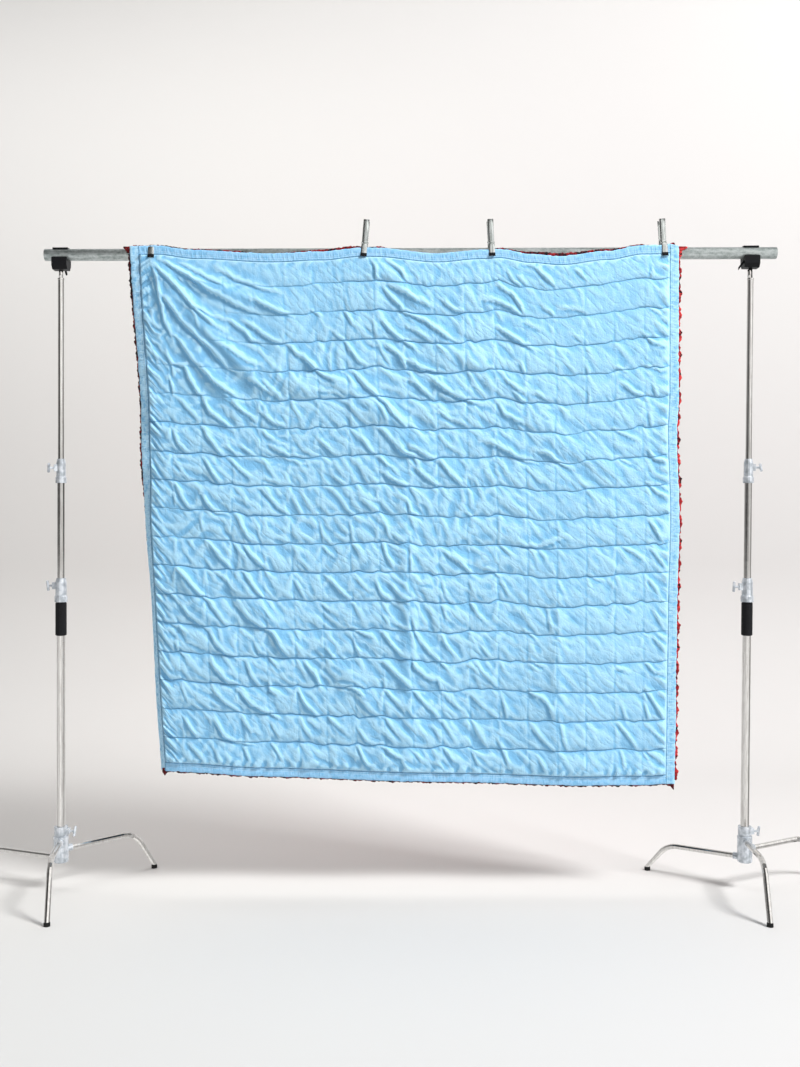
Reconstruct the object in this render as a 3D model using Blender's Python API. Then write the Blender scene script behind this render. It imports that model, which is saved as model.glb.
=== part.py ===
# A square quilt clamped to a round rail that two studio stands carry.
# Metres, +Z up. The blue side of the quilt faces -Y.

import math

import bmesh
import bpy
from mathutils import Matrix, Vector

# Clear space between pieces that touch on the real object
GAP = 0.0003

# Rail
PIPE_LENGTH = 3.0
PIPE_RADIUS = 0.02415
PIPE_WALL = 0.0032
PIPE_MIDDLE_X = 0.0435
PIPE_HEIGHT = 2.606
PIPE_RISE = 0.0027  # metres up for each metre to the right
PIPE_SIDES = 24

# Quilt, as its blue border's outer edge hangs
LEFT_TOP = (-1.102, 2.6306)
RIGHT_TOP = (1.135, 2.631)
LEFT_BOTTOM = (-0.978, 0.4916)
RIGHT_BOTTOM = (1.121, 0.4370)
CLOTH_Y = -0.033
BORDER_WIDTH = 0.036
BORDER_THICK = 0.0024
SEAM_THICK = 0.004
SIDE_FADE = 0.03
CROWN_THICK = 0.015
CHANNELS = 18
FIRST_STITCH = 0.0466
STITCH_PITCH = 0.0564
ROWS_IN_CHANNEL = 3
RUFFLE_THICK = 0.0016
RUFFLE_TURN_IN = 0.012
RUFFLE_GAP = 0.0007
RUFFLE_WAVE = 0.0032
HEM_SWAY = 0.007
HEM_SWAY_LENGTH = 0.74
HEM_SWAY_START = -0.2

# How far each edge strays from the straight line between its corners: place along it, metres outward
TOP_EDGE = (
    (0.000, 0.000),
    (0.045, 0.002),
    (0.120, -0.016),
    (0.255, -0.030),
    (0.350, -0.022),
    (0.420, -0.007),
    (0.445, -0.007),
    (0.560, -0.030),
    (0.640, -0.016),
    (0.672, -0.012),
    (0.730, -0.032),
    (0.785, -0.041),
    (0.870, -0.020),
    (0.935, 0.003),
    (0.972, 0.004),
    (0.990, 0.012),
    (1.000, 0.000),
)
BOTTOM_EDGE = (
    (0.000, 0.000),
    (0.060, 0.001),
    (0.195, 0.012),
    (0.480, 0.015),
    (0.780, 0.015),
    (0.930, 0.008),
    (1.000, 0.000),
)
LEFT_EDGE = (
    (0.000, 0.000),
    (0.050, 0.001),
    (0.290, -0.007),
    (0.410, 0.002),
    (0.540, 0.006),
    (0.675, 0.001),
    (0.865, 0.004),
    (1.000, 0.000),
)
RIGHT_EDGE = (
    (0.000, 0.000),
    (0.010, 0.002),
    (0.285, 0.004),
    (0.342, -0.001),
    (0.510, 0.011),
    (0.660, 0.005),
    (0.845, 0.002),
    (1.000, 0.000),
)

# Width that the left border shows from the front, down its length: below the middle it turns away backwards
LEFT_BORDER_SHOWS = (
    (0.00, 0.036),
    (0.30, 0.034),
    (0.42, 0.035),
    (0.52, 0.026),
    (0.68, 0.021),
    (0.86, 0.024),
    (1.00, 0.024),
)

# Main folds: start x, z, end x, z, half width, metres that the cloth comes forward
FOLDS = (
    (-1.000, 2.540, -0.500, 2.385, 0.030, 0.014),
    (-0.985, 2.520, -0.730, 2.290, 0.028, 0.015),
    (-0.985, 2.500, -0.930, 2.220, 0.026, 0.011),
    (-0.930, 2.420, -0.560, 2.060, 0.034, 0.015),
    (-0.880, 2.250, -0.660, 1.960, 0.034, 0.011),
    (-0.700, 2.210, -0.330, 2.020, 0.040, 0.009),
    (-0.120, 2.560, -0.080, 2.240, 0.026, 0.011),
    (-0.090, 2.550, 0.060, 2.420, 0.030, 0.009),
    (-0.270, 2.100, 0.080, 1.830, 0.045, 0.011),
    (0.100, 2.280, 0.420, 2.080, 0.050, 0.008),
    (-0.650, 1.240, -0.430, 1.000, 0.040, 0.011),
    (-0.920, 1.330, -0.740, 1.060, 0.036, 0.008),
    (-0.320, 1.000, -0.080, 0.740, 0.042, 0.009),
    (0.020, 1.640, 0.045, 0.560, 0.030, 0.008),
    (0.640, 1.240, 0.640, 0.520, 0.030, 0.007),
    (0.560, 1.900, 0.860, 1.720, 0.046, 0.008),
)

# The cloth lies flat above this height, under the clamps, and its folds grow over this depth below it
FOLD_TOP = 2.583
FOLD_FADE = 0.05
# A fold keeps this share of its height at its ends, and reaches this many half widths out
FOLD_END_SHARE = 0.55
FOLD_SPREAD = 3.0

# Columns of points across the quilted panel: share of the width where a run ends, columns in the run
COLUMN_RUNS = ((0.26, 11), (0.40, 3), (0.47, 3), (1.00, 12))

# Ruffle behind each border: shortest and longest reach past the edge, scallop length, steps
RUFFLES = {
    "left": (0.002, 0.0075, 0.062, 46),
    "right": (0.003, 0.0150, 0.083, 52),
    "bottom": (0.001, 0.0055, 0.071, 46),
}
BOTTOM_RUFFLE_START = 0.014
TOP_RUFFLE_STEPS = 60
# Where the ruffle stands above the top border: place along it, reach
TOP_RUFFLE = (
    (0.000, 0.006),
    (0.030, 0.002),
    (0.070, 0.005),
    (0.190, 0.005),
    (0.240, -0.002),
    (0.290, 0.004),
    (0.380, 0.011),
    (0.415, 0.009),
    (0.430, 0.003),
    (0.460, 0.007),
    (0.480, -0.003),
    (0.650, -0.003),
    (0.680, 0.006),
    (0.780, 0.013),
    (0.930, 0.006),
    (0.960, -0.003),
    (1.000, 0.004),
)
# Corner flaps of the ruffle, in metres past the border's corner, and how far they turn in
FLAP_TURN_IN = 0.004
LEFT_TOP_FLAP = 0.016
RIGHT_TOP_FLAP = 0.036
RIGHT_BOTTOM_FLAP = 0.026

# Spring clamps: name, place along the rail, sideways lean in degrees
UPRIGHT_CLAMPS = (
    ("clamp_2", -0.1475, 4.6),
    ("clamp_3", 0.3750, -2.6),
    ("clamp_4", 1.0795, -3.4),
)
SWUNG_CLAMP_X = -1.015
CLAMP_WIDTH = 0.025
CLAMP_SHEET = 0.0016
CLAMP_CENTRE_Y = -0.005
SPRING_RADIUS = 0.0095
SPRING_LENGTH = 0.0245
PIN_RADIUS = 0.003
PIN_LENGTH = 0.031
PIN_HEIGHT = 0.046
# One half of an upright clamp: distance from its centre plane, height over the rail's axis, flange depth
CLAMP_HALF = (
    (0.0150, 0.1370, 0.0070),
    (0.0098, 0.0580, 0.0075),
    (0.0098, 0.0410, 0.0060),
    (0.0295, 0.0320, 0.0032),
    (0.0295, -0.0040, 0.0030),
    (0.0350, -0.0190, 0.0030),
)
# The swung-back clamp: y and height from the rail's axis, flange depth
SWUNG_FRONT = (
    (0.1310, 0.0560, 0.0070),
    (0.0560, 0.0321, 0.0075),
    (0.0420, 0.0296, 0.0060),
    (0.0100, 0.0380, 0.0035),
    (-0.0345, 0.0320, 0.0032),
    (-0.0345, -0.0060, 0.0030),
    (-0.0400, -0.0210, 0.0030),
)
SWUNG_BACK = (
    (0.1370, 0.0250, 0.0070),
    (0.0600, 0.0122, 0.0075),
    (0.0440, 0.0102, 0.0060),
    (0.0330, -0.0080, 0.0032),
    (0.0215, -0.0250, 0.0030),
    (0.0130, -0.0370, 0.0030),
)
SWUNG_PIN = (0.0455, 0.0203)

# Stands: side, x of the base, x of the top, direction of the near leg in degrees
STANDS = (
    ("left", -1.3917, -1.3917, -79.7),
    ("right", 1.4154, 1.4388, -95.1),
)
LEG_RADIUS = 0.0110
LEG_START = 0.0465
LEG_CROWN = 0.330
LEG_FOOT = 0.422
LEG_BEND = 0.095
LEG_BEND_STEPS = 6
LEG_SIDES = 10
FOOT_RADIUS = 0.0125
FOOT_HEIGHT = 0.016
# Each leg: name, turn from the near leg in degrees, height at the hub, height at the crown
LEGS = {
    "left": (
        ("near", 0, 0.198, 0.214),
        ("inner", 120, 0.164, 0.168),
        ("outer", 240, 0.130, 0.132),
    ),
    "right": (
        ("near", 0, 0.198, 0.212),
        ("outer", 120, 0.164, 0.170),
        ("inner", 240, 0.130, 0.124),
    ),
}
SOCKET_RADIUS = 0.0145
SOCKET_LENGTH = LEG_START - GAP
HUB_BOTTOM = 0.111
HUB_RADIUS = 0.030
HUB_TOP = 0.217
BASE_COLLAR_RADIUS = 0.027
BASE_BOSS_LOW = 0.226
BASE_BOSS_HIGH = 0.250
COLUMN_BOTTOM = 0.258
COLUMN_TOP = 1.178
COLUMN_RADIUS = 0.0175
SLEEVE_BOTTOM = 1.040
SLEEVE_RADIUS = 0.0225
LOWER_COLLAR_TOP = 1.276
UPPER_COLLAR_BOTTOM = 1.666
UPPER_COLLAR_TOP = 1.765
MIDDLE_RADIUS = 0.0150
TOP_RADIUS = 0.0125
TOP_RISER_END = 2.506
TOP_LIP_RADIUS = 0.0140
TOP_LIP_HEIGHT = 0.006
STUD_RADIUS = 0.008
# T-handles: which collar, height, direction in degrees, tilt of the bar in degrees
HANDLES = {
    "left": (
        ("base", 0.237, 0, 35),
        ("lower", 1.245, 180, 20),
        ("upper", 1.728, 200, 40),
    ),
    "right": (
        ("base", 0.237, 0, -20),
        ("lower", 1.240, 180, 10),
        ("upper", 1.730, -10, 50),
    ),
}
HANDLE_SHAFT = 0.020
HANDLE_BAR = 0.042
HANDLE_RADIUS = 0.0048
BOSS_REACH = {"base": 0.036, "lower": 0.034, "upper": 0.028}
BOSS_HALF_WIDTH = 0.011
BOSS_HALF_HEIGHT = 0.014
COLLAR_SKIRT = 0.022
COLLAR_STEP = 0.006
COLLAR_TAPER = 0.018
COLLAR_NECK = 0.86
COLLAR_TOP = 0.70
LOWER_COLLAR_RADIUS = 0.026
UPPER_COLLAR_RADIUS = 0.022

# Head clamp on each stand, round the rail
HEAD_WIDTH = 0.062
HEAD_BOTTOM = -0.062
HEAD_BACK = 0.033
HEAD_FRONT = -0.030
HEAD_LIP_HEIGHT = -0.0144
HEAD_LIP_END = -0.014
SEAT_STEPS = 14
LEVER_RADIUS = 0.0055


def paint(name, colour, roughness, metallic):
    material = bpy.data.materials.new(name)
    material.use_nodes = True
    shader = material.node_tree.nodes["Principled BSDF"]
    shader.inputs["Base Color"].default_value = (*colour, 1.0)
    shader.inputs["Roughness"].default_value = roughness
    shader.inputs["Metallic"].default_value = metallic
    return material


def clear_scene():
    for old in list(bpy.data.objects):
        bpy.data.objects.remove(old)


def finish_mesh(name, bm, material, smooth_angle=35.0):
    # Makes an object of the faces, turned outward.
    bmesh.ops.recalc_face_normals(bm, faces=bm.faces)
    mesh = bpy.data.meshes.new(name)
    bm.to_mesh(mesh)
    bm.free()
    mesh.shade_smooth()
    mesh.set_sharp_from_angle(angle=math.radians(smooth_angle))
    mesh.materials.append(material)
    made = bpy.data.objects.new(name, mesh)
    bpy.context.scene.collection.objects.link(made)
    return made


def loft(bm, rings, closed=False):
    # Joins rings of points, each a list in the same order, and caps the two ends.
    made = [[bm.verts.new(point) for point in ring] for ring in rings]
    count = len(made[0])
    pairs = list(zip(made, made[1:]))
    if closed:
        pairs.append((made[-1], made[0]))
    for low, high in pairs:
        for i in range(count):
            j = (i + 1) % count
            bm.faces.new((low[i], low[j], high[j], high[i]))
    if not closed:
        bm.faces.new(made[0][::-1])
        bm.faces.new(made[-1])


def turned(name, profile, material, sides=16):
    # A turned piece about Z: profile rows are radius and height, from bottom to top.
    bm = bmesh.new()
    rings = []
    for radius, height in profile:
        ring = []
        for i in range(sides):
            angle = 2 * math.pi * i / sides
            ring.append((radius * math.cos(angle), radius * math.sin(angle), height))
        rings.append(ring)
    loft(bm, rings)
    return finish_mesh(name, bm, material)


def turned_ring(name, profile, material, sides=16):
    # A turned piece with a bore: the profile is a closed outline of radius and height.
    bm = bmesh.new()
    rings = []
    for i in range(sides):
        angle = 2 * math.pi * i / sides
        rings.append([(r * math.cos(angle), r * math.sin(angle), z) for r, z in profile])
    loft(bm, rings, closed=True)
    return finish_mesh(name, bm, material)


def bar(name, start, end, radius, material, sides=10):
    # A straight round bar between two points.
    start = Vector(start)
    end = Vector(end)
    turn = (end - start).to_track_quat("Z", "Y").to_matrix()
    bm = bmesh.new()
    rings = []
    for middle in (start, end):
        ring = []
        for i in range(sides):
            angle = 2 * math.pi * i / sides
            ring.append(middle + turn @ Vector((radius * math.cos(angle), radius * math.sin(angle), 0)))
        rings.append(ring)
    loft(bm, rings)
    return finish_mesh(name, bm, material)


def block(name, low, high, material):
    bm = bmesh.new()
    rings = []
    for z in (low[2], high[2]):
        rings.append(
            [(low[0], low[1], z), (high[0], low[1], z), (high[0], high[1], z), (low[0], high[1], z)]
        )
    loft(bm, rings)
    return finish_mesh(name, bm, material)


def union(piece, *others):
    # Adds helper shapes to a piece with Boolean modifiers.
    for other in others:
        joined = piece.modifiers.new("join " + other.name, "BOOLEAN")
        joined.operation = "UNION"
        joined.object = other
        other.hide_render = True
        other.display_type = "WIRE"


def read_off(table, place):
    # Smooth value of a table of place and value rows.
    for (a, low), (b, high) in zip(table, table[1:]):
        if place <= b:
            share = min(max((place - a) / (b - a), 0.0), 1.0)
            share = share * share * (3 - 2 * share)
            return low + (high - low) * share
    return table[-1][1]


def pipe_axis(x):
    return PIPE_HEIGHT + PIPE_RISE * x


def mix(a, b, share):
    return a + (b - a) * share


def on_cloth(u, v):
    # x and z of the hanging cloth: u from left to right, v from top to bottom.
    # It is filled in between the four edges.
    left_x = mix(LEFT_TOP[0], LEFT_BOTTOM[0], v) - read_off(LEFT_EDGE, v)
    right_x = mix(RIGHT_TOP[0], RIGHT_BOTTOM[0], v) + read_off(RIGHT_EDGE, v)
    top_z = mix(LEFT_TOP[1], RIGHT_TOP[1], u) + read_off(TOP_EDGE, u)
    bottom_z = mix(LEFT_BOTTOM[1], RIGHT_BOTTOM[1], u) - read_off(BOTTOM_EDGE, u)
    return mix(left_x, right_x, u), mix(top_z, bottom_z, v)


def fold_rise(x, z):
    # How far the cloth stands forward at a point, from the main folds and the sway of its foot.
    rise = 0.0
    for x0, z0, x1, z1, width, height in FOLDS:
        along = Vector((x1 - x0, z1 - z0))
        offset = Vector((x - x0, z - z0))
        share = offset.dot(along) / along.length_squared
        nearest = min(max(share, 0.0), 1.0)
        away = (offset - along * nearest).length / width
        if away < FOLD_SPREAD:
            fade = mix(FOLD_END_SHARE, 1.0, math.sin(math.pi * nearest))
            rise += height * fade * math.exp(-away * away)
    rise *= min(max((FOLD_TOP - z) / FOLD_FADE, 0.0), 1.0)
    top, bottom = LEFT_TOP[1], LEFT_BOTTOM[1]
    down = min(max((top - z) / (top - bottom), 0.0), 1.0)
    sway = HEM_SWAY * down * down * math.sin(2 * math.pi * (x - HEM_SWAY_START) / HEM_SWAY_LENGTH)
    return rise + sway


def cloth_point(u, v, proud):
    # A point of the cloth that stands proud of its middle layer, towards the front.
    x, z = on_cloth(u, v)
    return Vector((x, CLOTH_Y - fold_rise(x, z) - proud, z))


def left_border_shows(v):
    return read_off(LEFT_BORDER_SHOWS, v)


def border_turn(side, place):
    # The way outward across a border and the way through it to its back.
    # Only the left one turns away backwards.
    if side == "left":
        shows = left_border_shows(place)
        goes_back = math.sqrt(BORDER_WIDTH**2 - shows**2)
        return Vector((-shows, goes_back, 0)) / BORDER_WIDTH, Vector((goes_back, shows, 0)) / BORDER_WIDTH
    way = {"right": (1, 0, 0), "top": (0, 0, 1), "bottom": (0, 0, -1)}[side]
    return Vector(way), Vector((0, 1, 0))


def edge_point(side, place, out, behind):
    # A point near an edge of the cloth: out is how far past that edge it lies,
    # behind is how far behind the cloth's middle layer.
    u, v = {"left": (0, place), "right": (1, place), "top": (place, 0), "bottom": (place, 1)}[side]
    outward, backward = border_turn(side, place)
    edge = cloth_point(u, v, 0)
    if side == "left":
        edge.y += outward.y * BORDER_WIDTH
    return edge + outward * out + backward * behind


def slab_between(name, front, back, material):
    # A closed solid from two grids of points of the same size, front and back.
    bm = bmesh.new()
    faces = []
    for grid in (front, back):
        faces.append([[bm.verts.new(point) for point in row] for row in grid])
    rows = len(front)
    columns = len(front[0])
    for grid, turn in zip(faces, (False, True)):
        for i in range(rows - 1):
            for j in range(columns - 1):
                a, b = grid[i][j], grid[i][j + 1]
                c, d = grid[i + 1][j + 1], grid[i + 1][j]
                for corners in ((a, c, b), (a, d, c)):
                    bm.faces.new(corners[::-1] if turn else corners)
    near, far = faces
    rim = [(0, j) for j in range(columns)] + [(i, columns - 1) for i in range(1, rows)]
    rim += [(rows - 1, j) for j in range(columns - 2, -1, -1)] + [(i, 0) for i in range(rows - 2, 0, -1)]
    for (i, j), (k, m) in zip(rim, rim[1:] + rim[:1]):
        bm.faces.new((near[i][j], near[k][m], far[k][m], far[i][j]))
    return finish_mesh(name, bm, material, 80.0)


def panel_rows():
    # Heights of the panel's rows as shares from its top seam, and how full the channel is there.
    lines = [0.0] + [FIRST_STITCH + k * STITCH_PITCH for k in range(CHANNELS - 1)] + [1.0]
    rows = []
    for low, high in zip(lines, lines[1:]):
        for step in range(ROWS_IN_CHANNEL):
            share = step / ROWS_IN_CHANNEL
            rows.append((mix(low, high, share), math.sin(math.pi * share)))
    rows.append((1.0, 0.0))
    return rows


def panel_columns():
    places = [0.0]
    for end, count in COLUMN_RUNS:
        start = places[-1]
        places += [mix(start, end, (k + 1) / count) for k in range(count)]
    return places


def cloth_height():
    return LEFT_TOP[1] - LEFT_BOTTOM[1]


def upright_seam(side, v):
    # u of the left or right seam at a height.
    wide = on_cloth(1, v)[0] - on_cloth(0, v)[0]
    return left_border_shows(v) / wide if side == "left" else 1 - BORDER_WIDTH / wide


def level_seam():
    return BORDER_WIDTH / cloth_height()


def panel_v(down):
    # v of a place on the panel, just inside the level seams.
    edge = (BORDER_WIDTH + GAP) / cloth_height()
    return mix(edge, 1 - edge, down)


def inside_borders(across, v):
    # u of a point between the left and right seams.
    gap = GAP / (RIGHT_BOTTOM[0] - LEFT_BOTTOM[0])
    return mix(upright_seam("left", v) + gap, upright_seam("right", v) - gap, across)


def quilted_panel(material):
    front, back = [], []
    for down, fullness in panel_rows():
        v = panel_v(down)
        near_row, far_row = [], []
        for across in panel_columns():
            u = inside_borders(across, v)
            side = min(1.0, min(across, 1 - across) / SIDE_FADE)
            thick = mix(SEAM_THICK, CROWN_THICK, fullness * side)
            near_row.append(cloth_point(u, v, thick / 2))
            far_row.append(cloth_point(u, v, -thick / 2))
        front.append(near_row)
        back.append(far_row)
    return slab_between("quilt_panel", front, back, material)


def level_border(side, material):
    # The top or bottom band, between the upright ones.
    # Its points lie beside the panel's, so that the seam stays even.
    front, back = [], []
    edges = (0.0, level_seam()) if side == "top" else (1 - level_seam(), 1.0)
    for across in panel_columns():
        near_row, far_row = [], []
        for v in edges:
            u = inside_borders(across, v)
            near_row.append(cloth_point(u, v, BORDER_THICK / 2))
            far_row.append(cloth_point(u, v, -BORDER_THICK / 2))
        front.append(near_row)
        back.append(far_row)
    return slab_between("border_" + side, front, back, material)


def upright_border(side, material):
    # The left or right band, over the whole height.
    front, back = [], []
    half = BORDER_THICK / 2
    for place in (0.0, *[panel_v(down) for down, _ in panel_rows()], 1.0):
        seam = upright_seam(side, place)
        front.append([edge_point(side, place, 0, -half), cloth_point(seam, place, half)])
        back.append([edge_point(side, place, 0, half), cloth_point(seam, place, -half)])
    return slab_between("border_" + side, front, back, material)


def ruffle_strip(name, side, stations, material):
    # A wavy strip behind a border. Stations are place along the edge and reach past it.
    front, back = [], []
    for k, (place, reach) in enumerate(stations):
        wave = RUFFLE_WAVE * (k % 2)
        near_row, far_row = [], []
        for out, lift in ((-RUFFLE_TURN_IN, 0.0), (reach, wave)):
            behind = BORDER_THICK / 2 + RUFFLE_GAP + lift
            near_row.append(edge_point(side, place, out, behind))
            far_row.append(edge_point(side, place, out, behind + RUFFLE_THICK))
        front.append(near_row)
        back.append(far_row)
    return slab_between(name, front, back, material)


def side_ruffle(side, material):
    shortest, longest, scallop, steps = RUFFLES[side]
    length = RIGHT_BOTTOM[0] - LEFT_BOTTOM[0] if side == "bottom" else cloth_height()
    keep_off = (RUFFLE_TURN_IN + 2 * GAP) / length
    # The level one starts clear of the left border, which turns back there, and ends at the corner.
    start, end = (BOTTOM_RUFFLE_START, 1.0) if side == "bottom" else (keep_off, 1 - keep_off)
    stations = []
    for step in range(steps + 1):
        place = mix(start, end, step / steps)
        phase = 2 * math.pi * place * length / scallop
        uneven = 0.5 + 0.32 * math.sin(phase) + 0.18 * math.sin(2.7 * phase + 1.3)
        reach = mix(shortest, longest, min(max(uneven, 0.0), 1.0))
        if side == "bottom" and step == steps:
            reach = RIGHT_BOTTOM_FLAP
        stations.append((place, reach))
    return ruffle_strip("ruffle_" + side, side, stations, material)


def top_ruffle(material):
    # Runs along the top edge and ends in a small flap past each corner.
    front, back = [], []
    for step in range(-1, TOP_RUFFLE_STEPS + 2):
        place = min(max(step / TOP_RUFFLE_STEPS, 0.0), 1.0)
        past = {-1: -LEFT_TOP_FLAP, TOP_RUFFLE_STEPS + 1: RIGHT_TOP_FLAP}.get(step, 0.0)
        reach = read_off(TOP_RUFFLE, place)
        inner = -RUFFLE_TURN_IN if past == 0.0 else -FLAP_TURN_IN
        wave = RUFFLE_WAVE * (step % 2) if past == 0.0 else 0.0
        near_row, far_row = [], []
        for out, lift in ((reach, wave), (inner, 0.0)):
            behind = BORDER_THICK / 2 + RUFFLE_GAP + lift
            near = edge_point("top", place, out, behind)
            far = edge_point("top", place, out, behind + RUFFLE_THICK)
            near_row.append(near + Vector((past, 0, 0)))
            far_row.append(far + Vector((past, 0, 0)))
        front.append(near_row)
        back.append(far_row)
    return slab_between("ruffle_top", front, back, material)


def rail(material):
    outer, inner = PIPE_RADIUS, PIPE_RADIUS - PIPE_WALL
    half = PIPE_LENGTH / 2
    outline = ((inner, -half), (outer, -half), (outer, half), (inner, half))
    pipe = turned_ring("rail_pipe", outline, material, PIPE_SIDES)
    pipe.rotation_euler = (0, math.pi / 2 - math.atan(PIPE_RISE), 0)
    pipe.location = (PIPE_MIDDLE_X, 0, pipe_axis(PIPE_MIDDLE_X))
    return pipe


def channel(name, path, outward, material):
    # A strip bent along a path in the YZ plane, with flanges on its inner side.
    # The path runs along the flanges' tips.
    half = CLAMP_WIDTH / 2
    bm = bmesh.new()
    rings = []
    points = [Vector((y, z)) for y, z, _ in path]
    for k, (_, _, depth) in enumerate(path):
        ways = []
        if k > 0:
            ways.append((points[k] - points[k - 1]).normalized())
        if k < len(points) - 1:
            ways.append((points[k + 1] - points[k]).normalized())
        way = sum(ways, Vector((0, 0))).normalized()
        normal = Vector((way.y, -way.x)) * outward
        stretch = 1 / max(way.dot(ways[0]), 0.5)
        ring = []
        for across, rise in (
            (-half, 0),
            (-half, depth),
            (half, depth),
            (half, 0),
            (half - CLAMP_SHEET, 0),
            (half - CLAMP_SHEET, depth - CLAMP_SHEET),
            (-half + CLAMP_SHEET, depth - CLAMP_SHEET),
            (-half + CLAMP_SHEET, 0),
        ):
            spot = points[k] + normal * rise * stretch
            ring.append((across, spot.x, spot.y))
        rings.append(ring)
    loft(bm, rings)
    return finish_mesh(name, bm, material)


def spring_and_pin(name, y, z, steel):
    half = SPRING_LENGTH / 2
    spring = bar(name, (-half, y, z), (half, y, z), SPRING_RADIUS, steel, 12)
    pin = bar(name + "_pin_shape", (-PIN_LENGTH / 2, y, z), (PIN_LENGTH / 2, y, z), PIN_RADIUS, steel, 8)
    union(spring, pin)
    return spring, pin


def spring_clamps(steel):
    made = []
    for name, x, lean in UPRIGHT_CLAMPS:
        front_path = [(CLAMP_CENTRE_Y - r, z, depth) for r, z, depth in CLAMP_HALF]
        back_path = [(CLAMP_CENTRE_Y + r, z, depth) for r, z, depth in CLAMP_HALF]
        pieces = [channel(name + "_front_half", front_path, 1, steel)]
        pieces.append(channel(name + "_back_half", back_path, -1, steel))
        pieces += spring_and_pin(name + "_spring", CLAMP_CENTRE_Y, PIN_HEIGHT, steel)
        for piece in pieces:
            piece.location = (x, 0, pipe_axis(x))
            piece.rotation_euler = (0, math.radians(lean), 0)
        made += pieces
    swung = [channel("clamp_1_front_half", SWUNG_FRONT, 1, steel)]
    swung.append(channel("clamp_1_back_half", SWUNG_BACK, -1, steel))
    swung += spring_and_pin("clamp_1_spring", *SWUNG_PIN, steel)
    for piece in swung:
        piece.location = (SWUNG_CLAMP_X, 0, pipe_axis(SWUNG_CLAMP_X))
    return made + swung


def leg(name, turn, hub_height, crown_height, chrome):
    # A bent tube: out from the hub, round the bend at its crown and down to its foot.
    foot_top = FOOT_HEIGHT + GAP
    path = [(LEG_START, hub_height)]
    drop = crown_height - foot_top
    slope = math.atan2(drop, LEG_FOOT - LEG_CROWN)
    bend_start = LEG_CROWN - LEG_BEND * math.tan(slope / 2)
    for step in range(LEG_BEND_STEPS + 1):
        angle = slope * step / LEG_BEND_STEPS
        reach = bend_start + LEG_BEND * math.sin(angle)
        path.append((reach, crown_height - LEG_BEND * (1 - math.cos(angle))))
    path.append((LEG_FOOT, foot_top))
    bm = bmesh.new()
    rings = []
    for k, (reach, height) in enumerate(path):
        before = path[max(k - 1, 0)]
        after = path[min(k + 1, len(path) - 1)]
        way = Vector((after[0] - before[0], 0, after[1] - before[1])).normalized()
        if k == 0:
            way = Vector((1, 0, 0))
        if k == len(path) - 1:
            way = Vector((0, 0, -1))
        across = Vector((0, 1, 0))
        up = across.cross(way)
        ring = []
        for i in range(LEG_SIDES):
            angle = 2 * math.pi * i / LEG_SIDES
            spoke = math.cos(angle) * up + math.sin(angle) * across
            ring.append(Vector((reach, 0, height)) + LEG_RADIUS * spoke)
        rings.append(ring)
    loft(bm, rings)
    made = finish_mesh(name, bm, chrome, 60.0)
    made.rotation_euler = (0, 0, turn)
    return made


def foot(name, turn, rubber):
    profile = ((FOOT_RADIUS, 0), (FOOT_RADIUS, FOOT_HEIGHT * 0.7), (FOOT_RADIUS * 0.88, FOOT_HEIGHT))
    made = turned(name, profile, rubber, 12)
    made.location = (LEG_FOOT * math.cos(turn), LEG_FOOT * math.sin(turn), 0)
    return made


def hub(side, near_turn, cast):
    # Three stacked rings, each with the socket of a leg, under the collar of the column.
    top = COLUMN_BOTTOM - GAP
    profile = (
        (HUB_RADIUS * 0.87, HUB_BOTTOM),
        (HUB_RADIUS, HUB_BOTTOM + 0.004),
        (HUB_RADIUS, HUB_TOP),
        (HUB_RADIUS * 0.8, HUB_TOP + 0.002),
        (HUB_RADIUS * 0.8, HUB_TOP + 0.005),
        (BASE_COLLAR_RADIUS, HUB_TOP + 0.007),
        (BASE_COLLAR_RADIUS, top),
    )
    body = turned(side + "_hub", profile, cast, 20)
    helpers = []
    for name, turn, height, _ in LEGS[side]:
        angle = math.radians(near_turn + turn)
        way = Vector((math.cos(angle), math.sin(angle), 0))
        low = Vector((0, 0, height))
        helpers.append(
            bar(side + "_" + name + "_socket_shape", low, low + way * SOCKET_LENGTH, SOCKET_RADIUS, cast, 12)
        )
    helpers.append(
        block(
            side + "_base_boss_shape",
            (0, -BOSS_HALF_WIDTH, BASE_BOSS_LOW),
            (BOSS_REACH["base"], BOSS_HALF_WIDTH, BASE_BOSS_HIGH),
            cast,
        )
    )
    union(body, *helpers)
    return body, helpers


def collar(side, level, low, high, radius, direction, height, cast):
    neck = radius * COLLAR_NECK
    profile = (
        (radius, low),
        (radius, low + COLLAR_SKIRT),
        (neck, low + COLLAR_SKIRT + COLLAR_STEP),
        (neck, high - COLLAR_TAPER),
        (radius * COLLAR_TOP, high),
    )
    body = turned(side + "_" + level + "_collar", profile, cast)
    boss = block(
        side + "_" + level + "_boss_shape",
        (0, -BOSS_HALF_WIDTH, height - BOSS_HALF_HEIGHT),
        (BOSS_REACH[level], BOSS_HALF_WIDTH, height + BOSS_HALF_HEIGHT),
        cast,
    )
    boss.rotation_euler = (0, 0, math.radians(direction))
    union(body, boss)
    return body, boss


def t_handle(side, level, height, direction, tilt, cast):
    # A screw with a cross bar, just clear of its boss.
    start = BOSS_REACH[level] + GAP
    end = start + HANDLE_SHAFT
    name = side + "_" + level + "_handle"
    shaft = bar(name, (start, 0, height), (end, 0, height), HANDLE_RADIUS, cast, 8)
    angle = math.radians(tilt)
    way = Vector((0, math.sin(angle), math.cos(angle))) * HANDLE_BAR / 2
    middle = Vector((end, 0, height))
    cross = bar(name + "_bar_shape", middle - way, middle + way, HANDLE_RADIUS * 1.2, cast, 8)
    union(shaft, cross)
    for piece in (shaft, cross):
        piece.rotation_euler = (0, 0, math.radians(direction))
    return shaft, cross


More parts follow.
